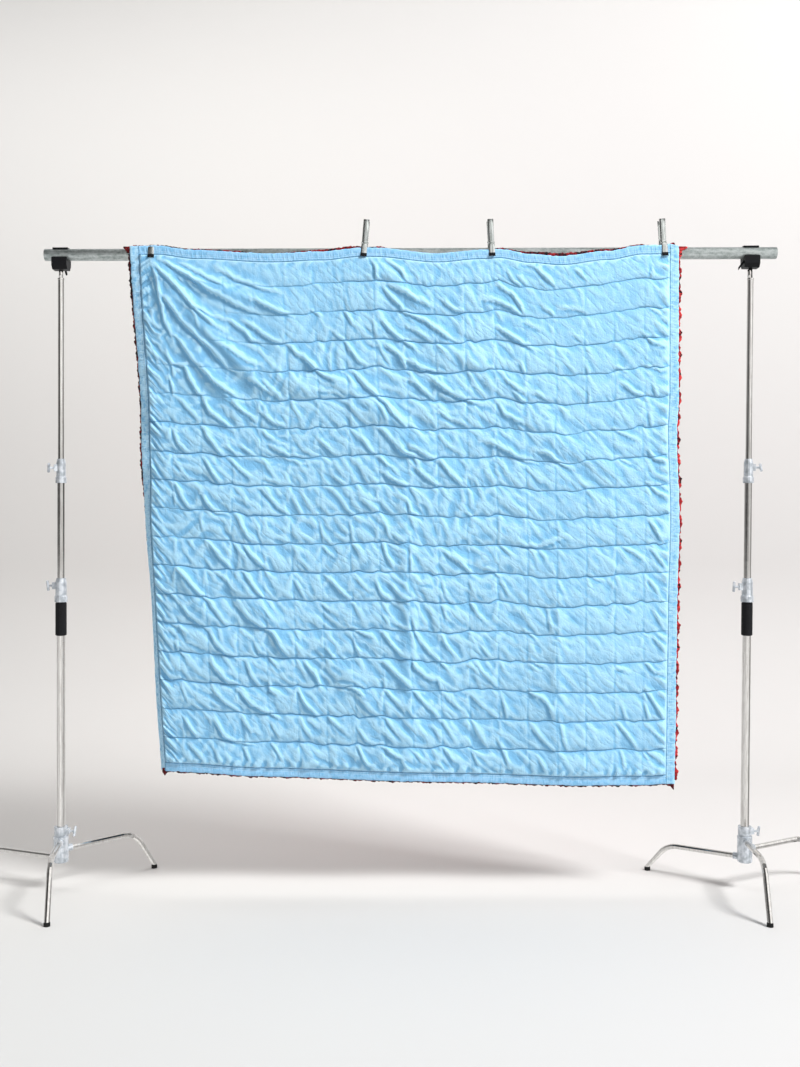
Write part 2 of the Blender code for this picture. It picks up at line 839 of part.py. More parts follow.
def head_clamp(side, x, back_lever, black):
    # A C-shaped clamp open to the front, closed round the rail from below, behind and above.
    seat = PIPE_RADIUS + GAP
    start = math.atan2(HEAD_LIP_HEIGHT, -math.sqrt(seat * seat - HEAD_LIP_HEIGHT**2))
    end = math.acos(HEAD_LIP_END / seat)
    outline = [
        (HEAD_LIP_END, 0.0280),
        (HEAD_BACK * 0.5, 0.0300),
        (HEAD_BACK, 0.0180),
        (HEAD_BACK, -0.0420),
        (HEAD_BACK * 0.6, HEAD_BOTTOM),
        (HEAD_FRONT * 0.6, HEAD_BOTTOM),
        (HEAD_FRONT, -0.0460),
        (HEAD_FRONT, HEAD_LIP_HEIGHT),
    ]
    flat_reach = seat / math.cos((end - start + 2 * math.pi) % (2 * math.pi) / SEAT_STEPS / 2)
    for step in range(SEAT_STEPS + 1):
        angle = mix(start, end, step / SEAT_STEPS)
        outline.append((flat_reach * math.cos(angle), flat_reach * math.sin(angle)))
    bm = bmesh.new()
    loft(bm, [[(across, y, z) for y, z in outline] for across in (-HEAD_WIDTH / 2, HEAD_WIDTH / 2)])
    body = finish_mesh(side + "_head_clamp", bm, black)
    axis = pipe_axis(x)
    stud_low = TOP_RISER_END + GAP - axis
    stud = bar(side + "_stud_shape", (0, 0, HEAD_BOTTOM + 0.006), (0, 0, stud_low), STUD_RADIUS, black, 12)
    union(body, stud)
    if back_lever:
        ends = ((0, HEAD_BACK + GAP, -0.024), (0, HEAD_BACK + 0.040, -0.062))
    else:
        ends = ((-HEAD_WIDTH / 2 - GAP, -0.012, -0.036), (-HEAD_WIDTH / 2 - 0.024, -0.018, -0.068))
    lever = lever_arm(side, *ends, black)
    for piece in (body, stud, lever):
        piece.location = (x, 0, axis)
        piece.rotation_euler = (0, -math.atan(PIPE_RISE), 0)
    return body, stud, lever


def lever_arm(side, start, end, black):
    # Its first ring lies flat against the clamp, so that only its far end hangs free.
    start, end = Vector(start), Vector(end)
    flat_x = abs(start.x) > 0
    bm = bmesh.new()
    rings = []
    for middle, radius in ((start, LEVER_RADIUS), (end, LEVER_RADIUS * 0.8)):
        ring = []
        for i in range(10):
            angle = 2 * math.pi * i / 10
            a, b = radius * math.cos(angle), 1.4 * radius * math.sin(angle)
            ring.append(middle + (Vector((0, a, b)) if flat_x else Vector((a, 0, b))))
        rings.append(ring)
    loft(bm, rings)
    return finish_mesh(side + "_head_lever", bm, black)


def stand(side, base_x, top_x, near_degrees, chrome, cast, black, rubber):
    near = math.radians(near_degrees)
    lean = math.atan2(top_x - base_x, TOP_RISER_END - COLUMN_BOTTOM)
    upright, leaning = [], []
    for name, turn, hub_height, crown_height in LEGS[side]:
        angle = near + math.radians(turn)
        upright.append(leg(side + "_leg_" + name, angle, hub_height, crown_height, chrome))
        upright.append(foot(side + "_foot_" + name, angle, rubber))
    body, helpers = hub(side, near_degrees, cast)
    upright += [body, *helpers]
    handles = {level: (height, turn, tilt) for level, height, turn, tilt in HANDLES[side]}
    upright += t_handle(side, "base", *handles["base"], cast)
    column = ((COLUMN_RADIUS, COLUMN_BOTTOM), (COLUMN_RADIUS, COLUMN_TOP - GAP))
    leaning.append(turned(side + "_column", column, chrome))
    bore = COLUMN_RADIUS + GAP
    sleeve = (
        (bore, SLEEVE_BOTTOM),
        (SLEEVE_RADIUS, SLEEVE_BOTTOM + 0.003),
        (SLEEVE_RADIUS, COLUMN_TOP - 0.004),
        (bore, COLUMN_TOP - GAP),
    )
    leaning.append(turned_ring(side + "_sleeve", sleeve, black))
    lower = handles["lower"]
    leaning += collar(
        side, "lower", COLUMN_TOP, LOWER_COLLAR_TOP, LOWER_COLLAR_RADIUS, lower[1], lower[0], cast
    )
    leaning += t_handle(side, "lower", *lower, cast)
    middle = ((MIDDLE_RADIUS, LOWER_COLLAR_TOP + GAP), (MIDDLE_RADIUS, UPPER_COLLAR_BOTTOM - GAP))
    leaning.append(turned(side + "_middle_riser", middle, chrome))
    upper = handles["upper"]
    leaning += collar(
        side, "upper", UPPER_COLLAR_BOTTOM, UPPER_COLLAR_TOP, UPPER_COLLAR_RADIUS, upper[1], upper[0], cast
    )
    leaning += t_handle(side, "upper", *upper, cast)
    lip_low = TOP_RISER_END - TOP_LIP_HEIGHT
    top = (
        (TOP_RADIUS, UPPER_COLLAR_TOP + GAP),
        (TOP_RADIUS, lip_low - 0.001),
        (TOP_LIP_RADIUS, lip_low),
        (TOP_LIP_RADIUS, TOP_RISER_END),
    )
    leaning.append(turned(side + "_top_riser", top, chrome))
    shift = Matrix.Translation((base_x, 0, 0))
    pivot = Matrix.Translation((0, 0, COLUMN_BOTTOM))
    tip = shift @ pivot @ Matrix.Rotation(lean, 4, "Y") @ pivot.inverted()
    bpy.context.view_layer.update()
    for piece in upright:
        piece.matrix_world = shift @ piece.matrix_world
    for piece in leaning:
        piece.matrix_world = tip @ piece.matrix_world
    head_clamp(side, top_x, side == "left", black)


def settle():
    # Puts the origin on the floor under the middle of the whole object.
    bpy.context.view_layer.update()
    corners = []
    for piece in bpy.data.objects:
        if not piece.hide_render:
            corners += [piece.matrix_world @ vertex.co for vertex in piece.data.vertices]
    low = [min(corner[k] for corner in corners) for k in range(3)]
    high = [max(corner[k] for corner in corners) for k in range(3)]
    shift = Vector((-(low[0] + high[0]) / 2, -(low[1] + high[1]) / 2, -low[2]))
    for piece in bpy.data.objects:
        piece.matrix_world = Matrix.Translation(shift) @ piece.matrix_world


def main():
    clear_scene()
    blue = paint("blue_cotton", (0.30, 0.62, 0.86), 0.9, 0.0)
    pale_blue = paint("blue_border_cotton", (0.34, 0.66, 0.88), 0.9, 0.0)
    red = paint("red_ruffle_cotton", (0.55, 0.05, 0.05), 0.9, 0.0)
    zinc = paint("galvanised_steel", (0.55, 0.56, 0.55), 0.45, 1.0)
    steel = paint("plated_spring_steel", (0.60, 0.61, 0.60), 0.30, 1.0)
    chrome = paint("chrome_tube", (0.78, 0.78, 0.77), 0.12, 1.0)
    cast = paint("cast_aluminium", (0.62, 0.63, 0.65), 0.35, 1.0)
    black = paint("black_metal", (0.03, 0.03, 0.03), 0.5, 0.3)
    rubber = paint("black_rubber", (0.02, 0.02, 0.02), 0.8, 0.0)
    quilted_panel(blue)
    for side in ("top", "bottom"):
        level_border(side, pale_blue)
    for side in ("left", "right"):
        upright_border(side, pale_blue)
    top_ruffle(red)
    for side in ("bottom", "left", "right"):
        side_ruffle(side, red)
    rail(zinc)
    spring_clamps(steel)
    for row in STANDS:
        stand(*row, chrome, cast, black, rubber)
    settle()


main()
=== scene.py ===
import math

import bpy
import numpy as np
from mathutils import Matrix, Vector


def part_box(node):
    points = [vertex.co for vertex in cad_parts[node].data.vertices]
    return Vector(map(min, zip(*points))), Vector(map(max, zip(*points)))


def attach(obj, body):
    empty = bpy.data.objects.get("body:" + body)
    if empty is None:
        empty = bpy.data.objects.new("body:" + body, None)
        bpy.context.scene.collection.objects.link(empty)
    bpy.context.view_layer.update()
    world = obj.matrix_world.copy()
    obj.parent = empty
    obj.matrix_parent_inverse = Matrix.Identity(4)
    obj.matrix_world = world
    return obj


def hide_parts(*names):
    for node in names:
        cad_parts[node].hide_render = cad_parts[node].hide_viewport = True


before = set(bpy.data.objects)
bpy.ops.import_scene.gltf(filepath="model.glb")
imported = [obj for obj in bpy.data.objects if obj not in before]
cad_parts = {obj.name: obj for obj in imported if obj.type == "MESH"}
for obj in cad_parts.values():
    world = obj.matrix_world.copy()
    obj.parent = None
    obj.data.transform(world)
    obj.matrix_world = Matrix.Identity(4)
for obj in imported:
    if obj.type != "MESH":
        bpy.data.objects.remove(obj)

for startupName in ("Cube", "Light", "Camera"):
    if startupName in bpy.data.objects:
        bpy.data.objects.remove(bpy.data.objects[startupName])
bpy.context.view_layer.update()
print("frame loaded:", len(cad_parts), "nodes")


# how the cloth hangs, in the same sizes as the solids
hang = {
    "leftTop": (-1.102, 2.6306),
    "rightTop": (1.135, 2.631),
    "leftBottom": (-0.978, 0.4916),
    "rightBottom": (1.121, 0.4370),
    "clothY": -0.033,
    "borderWidth": 0.036,
    "borderThick": 0.0024,
    "seamThick": 0.004,
    "gap": 0.0003,
    "hemSway": 0.007,
    "hemSwayLength": 0.74,
    "hemSwayStart": -0.2,
    "foldTop": 2.583,  # above this the clamps hold the cloth flat
    "foldFade": 0.05,
    "foldEndShare": 0.55,
    "foldSpread": 3.0,
    "firstStitch": 0.0466,
    "stitchPitch": 0.0564,
    "channels": 18,
    "firstColumn": 0.0440,
    "columnPitch": 0.05675,
    "uprights": 17,
    "firstClamp": (-1.0, 2.57),  # x and z of the place where the fan of folds starts
    "railMiddleX": 0.0435,
}
# place along each edge, metres that it strays outward
topEdge = (
    (0.000, 0.000), (0.045, 0.002), (0.120, -0.016), (0.255, -0.030), (0.350, -0.022), (0.420, -0.007),
    (0.445, -0.007), (0.560, -0.030), (0.640, -0.016), (0.672, -0.012), (0.730, -0.032), (0.785, -0.041),
    (0.870, -0.020), (0.935, 0.003), (0.972, 0.004), (0.990, 0.012), (1.000, 0.000),
)
bottomEdge = (
    (0.000, 0.000), (0.060, 0.001), (0.195, 0.012), (0.480, 0.015), (0.780, 0.015), (0.930, 0.008),
    (1.000, 0.000),
)
leftEdge = (
    (0.000, 0.000), (0.050, 0.001), (0.290, -0.007), (0.410, 0.002), (0.540, 0.006), (0.675, 0.001),
    (0.865, 0.004), (1.000, 0.000),
)
rightEdge = (
    (0.000, 0.000), (0.010, 0.002), (0.285, 0.004), (0.342, -0.001), (0.510, 0.011), (0.660, 0.005),
    (0.845, 0.002), (1.000, 0.000),
)
# place down the left border, width that it shows from the front
leftBorderShows = (
    (0.00, 0.036), (0.30, 0.034), (0.42, 0.035), (0.52, 0.026), (0.68, 0.021), (0.86, 0.024), (1.00, 0.024),
)
# main folds: start x, z, end x, z, half width, metres forward
# three by the first clamp and one by the second come less far forward than in the solids
folds = (
    (-1.000, 2.540, -0.500, 2.385, 0.030, 0.011),
    (-0.985, 2.520, -0.730, 2.290, 0.028, 0.009),
    (-0.985, 2.500, -0.930, 2.220, 0.026, 0.003),
    (-0.930, 2.420, -0.560, 2.060, 0.034, 0.015),
    (-0.880, 2.250, -0.660, 1.960, 0.034, 0.011),
    (-0.700, 2.210, -0.330, 2.020, 0.040, 0.009),
    (-0.120, 2.560, -0.080, 2.240, 0.026, 0.004),
    (-0.090, 2.550, 0.060, 2.420, 0.030, 0.009),
    (-0.270, 2.100, 0.080, 1.830, 0.045, 0.011),
    (0.100, 2.280, 0.420, 2.080, 0.050, 0.008),
    (-0.650, 1.240, -0.430, 1.000, 0.040, 0.011),
    (-0.920, 1.330, -0.740, 1.060, 0.036, 0.008),
    (-0.320, 1.000, -0.080, 0.740, 0.042, 0.009),
    (0.020, 1.640, 0.045, 0.560, 0.030, 0.008),
    (0.640, 1.240, 0.640, 0.520, 0.030, 0.007),
    (0.560, 1.900, 0.860, 1.720, 0.046, 0.008),
)
railLow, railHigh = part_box("rail_pipe")
railMiddle = (railLow + railHigh) / 2
toRow = np.array([railMiddle.x - hang["railMiddleX"], railMiddle.y, 0.0])  # from these sizes to the row's frame
sides = {"top": 1, "bottom": 2, "left": 3, "right": 4}  # each with its number in the seeds
rims = (np.s_[0], np.s_[-1], np.s_[:, 0], np.s_[:, -1])
latticeSize = 97


def mix(a, b, share):
    return a + (b - a) * share


def smooth(low, high, value):
    share = np.clip((value - low) / (high - low), 0.0, 1.0)
    return share * share * (3 - 2 * share)


def toEdge(share):
    return np.minimum(share, 1 - share)


def turnBy(x, z, turn):
    return x * math.cos(turn) + z * math.sin(turn), z * math.cos(turn) - x * math.sin(turn)


def meanAround(grid):
    return (grid[:-2, 1:-1] + grid[2:, 1:-1] + grid[1:-1, :-2] + grid[1:-1, 2:]) / 4


def gridOf(*parts):
    return np.stack(np.broadcast_arrays(*parts), axis=-1)


def fromFirstClamp(x, z):
    return np.hypot(x - hang["firstClamp"][0], z - hang["firstClamp"][1])


def readOff(table, place):
    at, value = np.array(table).T
    place = np.clip(place, at[0], at[-1])
    k = np.clip(np.searchsorted(at, place, side="left") - 1, 0, len(at) - 2)
    share = (place - at[k]) / (at[k + 1] - at[k])
    share = share * share * (3 - 2 * share)
    return value[k] + (value[k + 1] - value[k]) * share


def onCloth(u, v):
    leftX = mix(hang["leftTop"][0], hang["leftBottom"][0], v) - readOff(leftEdge, v)
    rightX = mix(hang["rightTop"][0], hang["rightBottom"][0], v) + readOff(rightEdge, v)
    topZ = mix(hang["leftTop"][1], hang["rightTop"][1], u) + readOff(topEdge, u)
    bottomZ = mix(hang["leftBottom"][1], hang["rightBottom"][1], u) - readOff(bottomEdge, u)
    return mix(leftX, rightX, u), mix(topZ, bottomZ, v)


def foldRise(x, z):
    rise = np.zeros(np.shape(x))
    for x0, z0, x1, z1, width, height in folds:
        dx, dz = x1 - x0, z1 - z0
        nearest = np.clip(((x - x0) * dx + (z - z0) * dz) / (dx * dx + dz * dz), 0.0, 1.0)
        away = np.hypot(x - x0 - nearest * dx, z - z0 - nearest * dz) / width
        fade = mix(hang["foldEndShare"], 1.0, np.sin(np.pi * nearest))
        rise += np.where(away < hang["foldSpread"], height * fade * np.exp(-away * away), 0.0)
    rise *= np.clip((hang["foldTop"] - z) / hang["foldFade"], 0.0, 1.0)
    top, bottom = hang["leftTop"][1], hang["leftBottom"][1]
    down = np.clip((top - z) / (top - bottom), 0.0, 1.0)
    phase = 2 * np.pi * (x - hang["hemSwayStart"]) / hang["hemSwayLength"]
    return rise + hang["hemSway"] * down * down * np.sin(phase)


def clothPoint(u, v, proud):
    x, z = onCloth(u, v)
    return np.stack([x, hang["clothY"] - foldRise(x, z) - proud, z], axis=-1)


def clothHeight():
    return hang["leftTop"][1] - hang["leftBottom"][1]


def clothWidth():
    return hang["rightBottom"][0] - hang["leftBottom"][0]


def sideLength(side):
    return clothWidth() if side in ("top", "bottom") else clothHeight()


def uprightSeam(side, v):
    wide = onCloth(np.ones_like(v), v)[0] - onCloth(np.zeros_like(v), v)[0]
    return readOff(leftBorderShows, v) / wide if side == "left" else 1 - hang["borderWidth"] / wide


def panelV(down):
    edge = (hang["borderWidth"] + hang["gap"]) / clothHeight()
    return mix(edge, 1 - edge, down)


def insideBorders(across, v):
    gap = hang["gap"] / clothWidth()
    return mix(uprightSeam("left", v) + gap, uprightSeam("right", v) - gap, across)


def edgeFrame(side, place):
    # the outer edge of a border, the way outward across it and the way through it to its back
    one = np.ones_like(place)
    u, v = {"left": (0 * one, place), "right": (one, place), "top": (place, 0 * one), "bottom": (place, one)}[side]
    edge = clothPoint(u, v, 0.0)
    way = {"left": (-1, 0, 0), "right": (1, 0, 0), "top": (0, 0, 1), "bottom": (0, 0, -1)}[side]
    outward = np.array(way, float) * one[:, None]
    backward = np.array((0, 1, 0), float) * one[:, None]
    if side == "left":
        wide = hang["borderWidth"]
        shows = readOff(leftBorderShows, place)
        goesBack = np.sqrt(wide**2 - shows**2)
        outward = np.stack([-shows, goesBack, 0 * one], axis=-1) / wide
        backward = np.stack([goesBack, shows, 0 * one], axis=-1) / wide
        edge[:, 1] += goesBack
    return edge, outward, backward


def softNoise(x, z, seed):
    # smooth uneven values of about -1 to 1, one lattice step per unit
    n = latticeSize
    lattice = np.random.default_rng(seed).standard_normal((n, n)) * 0.75
    i, j = np.floor(x).astype(int), np.floor(z).astype(int)
    fx, fz = x - i, z - j
    fx, fz = fx**3 * (fx * (fx * 6 - 15) + 10), fz**3 * (fz * (fz * 6 - 15) + 10)
    low = mix(lattice[i % n, j % n], lattice[(i + 1) % n, j % n], fx)
    high = mix(lattice[i % n, (j + 1) % n], lattice[(i + 1) % n, (j + 1) % n], fx)
    return mix(low, high, fz)


def gridFaces(rows, columns, start=0, turn=False):
    index = np.arange(rows * columns).reshape(rows, columns) + start
    a, b, c, d = index[:-1, :-1], index[:-1, 1:], index[1:, 1:], index[1:, :-1]
    quads = np.stack([a, b, c, d] if turn else [a, d, c, b], axis=-1)
    return quads.reshape(-1, 4)


def rimLoop(rows, columns):
    index = np.arange(rows * columns).reshape(rows, columns)
    return np.concatenate([index[0, :-1], index[:-1, -1], index[-1, :0:-1], index[:0:-1, 0]])


def makeMesh(name, points, faces, uv, material):
    mesh = bpy.data.meshes.new(name)
    mesh.vertices.add(len(points))
    mesh.vertices.foreach_set("co", np.asarray(points, np.float32).ravel())
    mesh.loops.add(faces.size)
    mesh.loops.foreach_set("vertex_index", faces.astype(np.int32).ravel())
    mesh.polygons.add(len(faces))
    mesh.polygons.foreach_set("loop_start", np.arange(0, faces.size, faces.shape[1], dtype=np.int32))
    mesh.update(calc_edges=True)
    mesh.validate()
    layer = mesh.uv_layers.new(name="UVMap")
    layer.data.foreach_set("uv", np.asarray(uv, np.float32)[faces.ravel()].ravel())
    mesh.shade_smooth()
    mesh.materials.append(material)
    made = bpy.data.objects.new(name, mesh)
    bpy.context.scene.collection.objects.link(made)
    return made


def sheetFrom(name, front, uv, material):
    # one layer of cloth, facing the camera, its cells split down to the right as the folds run
    rows, columns = front.shape[:2]
    points = front.reshape(-1, 3) + toRow
    quads = gridFaces(rows, columns)
    halves = np.stack([quads[:, [0, 1, 2]], quads[:, [0, 2, 3]]], axis=1).reshape(-1, 3)
    return makeMesh(name, points, halves, uv.reshape(-1, 2), material)


def slabFrom(name, front, back, uv, material):
    # a closed strip of cloth from its front and back points
    rows, columns = front.shape[:2]
    count = rows * columns
    points = np.concatenate([front.reshape(-1, 3), back.reshape(-1, 3)]) + toRow
    near = gridFaces(rows, columns)
    far = gridFaces(rows, columns, start=count, turn=True)
    rim = rimLoop(rows, columns)
    after = np.roll(rim, -1)
    sides = np.stack([rim, after, after + count, rim + count], axis=-1)
    faces = np.concatenate([near, far, sides])
    flat = uv.reshape(-1, 2)
    return makeMesh(name, points, faces, np.concatenate([flat, flat]), material)


class Value:
    # A socket in an expression. Operators add Math nodes.
    def __init__(self, shade, socket):
        self.shade = shade
        self.socket = socket

    def math(self, operation, other):
        return self.shade.node("Math", {"operation": operation}, {0: self, 1: other})

    def __add__(self, other):
        return self.math("ADD", other)

    def __sub__(self, other):
        return self.math("SUBTRACT", other)

    def __mul__(self, other):
        return self.math("MULTIPLY", other)

    def __gt__(self, other):
        return self.math("GREATER_THAN", other)

    def __lt__(self, other):
        return self.math("LESS_THAN", other)

    def __mod__(self, other):
        return self.math("FLOORED_MODULO", other)

    def __abs__(self):
        return self.shade.node("Math", {"operation": "ABSOLUTE"}, {0: self})


class Shade:
    # A material or the room being shaded. node() adds any node, paint() sets the shader's sockets.
    def __init__(self, name, room=None):
        self.material = room or bpy.data.materials.new(name)
        self.material.use_nodes = True
        self.tree = self.material.node_tree
        self.shader = self.tree.nodes["Background" if room else "Principled BSDF"]

    def feed(self, socket, value):
        if isinstance(value, Value):
            self.tree.links.new(value.socket, socket)
        else:
            socket.default_value = value

    def node(self, kind, settings, inputs, out=0):
        made = self.tree.nodes.new("ShaderNode" + kind)
        for key, value in settings.items():
            if key == "stops":
                elements = made.color_ramp.elements
                while len(elements) < len(value):
                    elements.new(0.5)
                for element, (place, colour) in zip(elements, value):
                    element.position = place
                    element.color = colour
            else:
                setattr(made, key, value)
        for key, value in inputs.items():
            self.feed(made.inputs[key], value)
        return Value(self, made.outputs[out])

    def blend(self, factor, first, second, how="MIX"):
        settings = {"data_type": "RGBA", "blend_type": how}
        return self.node("Mix", settings, {0: factor, 6: first, 7: second}, 2)

    def place(self):
        return self.node("TexCoord", {}, {}, 3)

    def along(self):
        split = self.node("SeparateXYZ", {}, {0: self.node("UVMap", {"uv_map": "UVMap"}, {})})
        return split, Value(self, split.socket.node.outputs[1])

    def stretched(self, scale, degrees=0):
        turn = (0, math.radians(degrees), 0)
        turned = self.node("Mapping", {}, {"Vector": self.place(), "Rotation": turn})
        return self.node("Mapping", {}, {"Vector": turned, "Scale": scale})

    def noise(self, vector, scale, detail=3.0, roughness=0.5):
        inputs = {"Vector": vector, "Scale": scale, "Detail": detail, "Roughness": roughness}
        return self.node("TexNoise", {}, inputs)

    def flatNoise(self, along, across, detail):
        return self.noise(self.node("CombineXYZ", {}, {0: along, 1: across}), 1.0, detail)

    def ridges(self, scale, degrees, detail):
        # sharp creases that cross the cloth at a slant
        vector = self.stretched(scale, degrees)
        inputs = {"Vector": vector, "Scale": 1.0, "Detail": detail, "Offset": 1.0, "Gain": 1.0}
        return self.node("TexNoise", {"noise_type": "RIDGED_MULTIFRACTAL"}, inputs)

    def ramp(self, value, low, high):
        inputs = {"Value": value, "From Min": low, "From Max": high}
        return self.node("MapRange", {"interpolation_type": "SMOOTHSTEP"}, inputs)

    def bump(self, height, strength):
        inputs = {"Height": height, "Distance": 1.0, "Strength": strength}
        return self.node("Bump", {}, inputs)

    def paint(self, **sockets):
        names = {"color": "Base Color", "rough": "Roughness", "metal": "Metallic", "normal": "Normal"}
        names.update({"sheen": "Sheen Weight", "sheenRough": "Sheen Roughness", "gloss": "Specular IOR Level"})
        for key, value in sockets.items():
            self.feed(self.shader.inputs[names[key]], value)
        return self.material


cloth = {
    "light": (0.412, 0.715, 0.930, 1),
    "deep": (0.205, 0.500, 0.785, 1),
    # painted shade colour, laid in the stitch grooves, seams, creases and strokes
    "grooveShade": (0.060, 0.200, 0.380, 1),
    "grooveHalf": 0.0009,
    "creaseShade": 0.22,
    "creaseDeep": 0.0012,
    "crushDeep": 0.0004,
    "strokeShade": 0.60,  # painted shade of the slanted strokes beside the left seam
    "strokeDeep": 0.005,
    "border": (0.330, 0.620, 0.900, 1),
    "sunlit": (0.480, 0.780, 1.000, 1),
    "thread": (0.50, 0.76, 0.95, 1),
    "red": (0.56, 0.042, 0.042, 1),
    "darkRed": (0.26, 0.012, 0.016, 1),
    "ruffleInShade": (0.085, 0.005, 0.008, 1),
    "black": (0.008, 0.005, 0.006, 1),
}


def weave(shade, strength):
    # threads too fine to count, as faint cross grain
    warp = shade.noise(shade.stretched((900, 900, 60)), 1.0, 1.0)
    weft = shade.noise(shade.stretched((60, 900, 900)), 1.0, 1.0)
    return (warp + weft) * (0.5 * strength)


def quiltMaterial():
    shade = Shade("blueCotton")
    alongUv, upUv = shade.along()
    patches = shade.noise(shade.place(), 2.6, 3.0)
    worn = shade.noise(shade.place(), 38.0, 4.0, 0.65)
    ridge = shade.node("Attribute", {"attribute_name": "wear"}, {}, 2)  # 0 in a crease, 1 on a ridge: painted shade in the creases and paler wear on the ridges
    tone = shade.ramp(ridge * 0.70 + patches * 0.15 + worn * 0.15, 0.25, 0.80)
    color = shade.blend(tone, cloth["deep"], cloth["light"])
    pitch = hang["stitchPitch"] * clothHeight()
    lastLine = (1 - hang["firstStitch"] - (hang["channels"] - 2) * hang["stitchPitch"]) * clothHeight()
    grooveShade = abs((upUv - (lastLine - pitch / 2)) % pitch - pitch / 2) < cloth["grooveHalf"]
    broken = shade.ramp(shade.noise(shade.place(), 9.0, 2.0), 0.38, 0.62)
    stitched = shade.node("Attribute", {"attribute_name": "stitched"}, {}, 2)
    # painted shade: a dark line along each stitch line, where shade falls in its groove, and a painted shadow along
    # the panel's left edge
    seam = grooveShade * (broken * 0.55 + 0.25) * stitched + (alongUv < 0.006) * 0.40
    color = shade.blend(seam, color, cloth["grooveShade"])
    grain = shade.noise(shade.stretched((170, 170, 24)), 1.0, 2.0)
    color = shade.blend(shade.ramp(grain, 0.62, 0.78) * 0.16, color, cloth["thread"])
    slanted = upUv - (shade.ramp(upUv, 1.82, 1.94) * 2.0 - 1.1) * alongUv  # the strokes turn over near the top
    strokes = shade.flatNoise(alongUv * 4.0, slanted * 70.0, 1.0)
    besideSeam = shade.ramp(alongUv, 0.070, 0.012)
    # painted shade along the slanted strokes beside the left seam
    color = shade.blend(shade.ramp(strokes, 0.50, 0.74) * besideSeam * cloth["strokeShade"], color, cloth["grooveShade"])
    creased = shade.ridges((14, 38, 38), -42, 3.0)
    crushed = shade.ridges((64, 90, 90), 58, 2.0)
    loose = stitched * 0.6 + 0.4  # the fine creases are calmer beside the first clamp
    # painted shade along the fine creases
    color = shade.blend(shade.ramp(creased, 1.40, 1.95) * loose * cloth["creaseShade"], color, cloth["grooveShade"])
    fine = shade.noise(shade.place(), 150.0, 3.0, 0.6)
    height = fine * 0.0010 + grain * 0.0006 + weave(shade, 0.0003)
    height = height - (creased * cloth["creaseDeep"] + crushed * cloth["crushDeep"]) * loose
    height = height - strokes * besideSeam * cloth["strokeDeep"]
    return shade.paint(
        color=color, rough=0.78, sheen=0.25, sheenRough=0.45, gloss=0.35, normal=shade.bump(height, 0.9)
    )


def borderMaterial(name, light, seamShade):
    shade = Shade(name)
    alongUv, acrossUv = shade.along()
    worn = shade.noise(shade.place(), 60.0, 4.0, 0.65)
    color = shade.blend(shade.ramp(worn, 0.30, 0.60), cloth["deep"], light)
    dash = (alongUv % 0.0052) < 0.0034
    rows = (abs(acrossUv - 0.0295) < 0.0008) + (abs(acrossUv - 0.0225) < 0.0008)
    thread = dash * rows
    color = shade.blend(thread, color, cloth["thread"])
    # painted shade along the inner edge of the band, where the panel's edge shades it
    color = shade.blend((acrossUv > 0.0335) * seamShade, color, cloth["grooveShade"])
    ribs = shade.flatNoise(alongUv * 330.0, acrossUv * 24.0, 2.0)
    height = ribs * 0.0006 + thread * 0.0004 + weave(shade, 0.0002)
    return shade.paint(
        color=color, rough=0.8, sheen=0.2, sheenRough=0.45, gloss=0.3, normal=shade.bump(height, 0.9)
    )


def ruffleMaterial(name, light, dark, blackFrom):
    shade = Shade(name)
    alongUv, acrossUv = shade.along()
    spots = shade.flatNoise(alongUv * 70.0, acrossUv * 60.0, 2.0)
    patches = shade.noise(shade.place(), 24.0, 2.0)
    red = shade.blend(shade.ramp(patches, 0.4, 0.6), dark, light)
    color = shade.blend(shade.ramp(spots, blackFrom, blackFrom + 0.05), red, cloth["black"])
    height = shade.noise(shade.place(), 300.0, 3.0) * 0.0008
    return shade.paint(color=color, rough=0.85, sheen=0.2, gloss=0.25, normal=shade.bump(height, 0.8))


def backingMaterial():
    shade = Shade("redBackingCotton")
    worn = shade.noise(shade.place(), 20.0, 4.0, 0.6)
    color = shade.blend(shade.ramp(worn, 0.35, 0.65), (0.30, 0.016, 0.020, 1), (0.40, 0.024, 0.028, 1))
    crumple = shade.noise(shade.stretched((14, 30, 44), 42), 1.0, 4.0, 0.6)
    height = crumple * 0.003 + shade.noise(shade.place(), 120.0, 3.0) * 0.0008
    return shade.paint(color=color, rough=0.82, sheen=0.2, gloss=0.3, normal=shade.bump(height, 0.8))


def galvanisedMaterial():
    shade = Shade("galvanisedSteel")
    spangle = shade.node("TexVoronoi", {}, {"Vector": shade.stretched((0.5, 1, 1)), "Scale": 80.0})
    streak = shade.noise(shade.stretched((5, 60, 60)), 1.0, 4.0, 0.65)
    mottled = shade.noise(shade.place(), 110.0, 4.0, 0.7)
    tone = shade.ramp(streak * 0.5 + mottled * 0.4 + spangle * 0.15, 0.36, 0.66)
    color = shade.blend(tone, (0.27, 0.31, 0.30, 1), (0.60, 0.64, 0.63, 1))
    rough = mottled * 0.30 + 0.22
    height = mottled * 0.0010
    return shade.paint(color=color, rough=rough, metal=0.95, normal=shade.bump(height, 0.6))


def platedMaterial(name, dark, light, rough, scratch):
    shade = Shade(name)
    marks = shade.noise(shade.stretched((160, 160, 14)), 1.0, 4.0, 0.6)
    color = shade.blend(shade.ramp(marks, 0.35, 0.65), dark, light)
    uneven = shade.noise(shade.place(), 45.0, 3.0) * 0.14 + (rough - 0.07)
    return shade.paint(color=color, rough=uneven, metal=1.0, normal=shade.bump(marks * scratch, 0.5))


def castMaterial():
    shade = Shade("castAluminium")
    grain = shade.noise(shade.place(), 420.0, 3.0)
    patches = shade.noise(shade.place(), 50.0, 3.0)
    color = shade.blend(shade.ramp(patches, 0.35, 0.65), (0.50, 0.54, 0.58, 1), (0.80, 0.84, 0.89, 1))
    return shade.paint(color=color, rough=0.27, metal=0.6, normal=shade.bump(grain * 0.0005, 0.5))


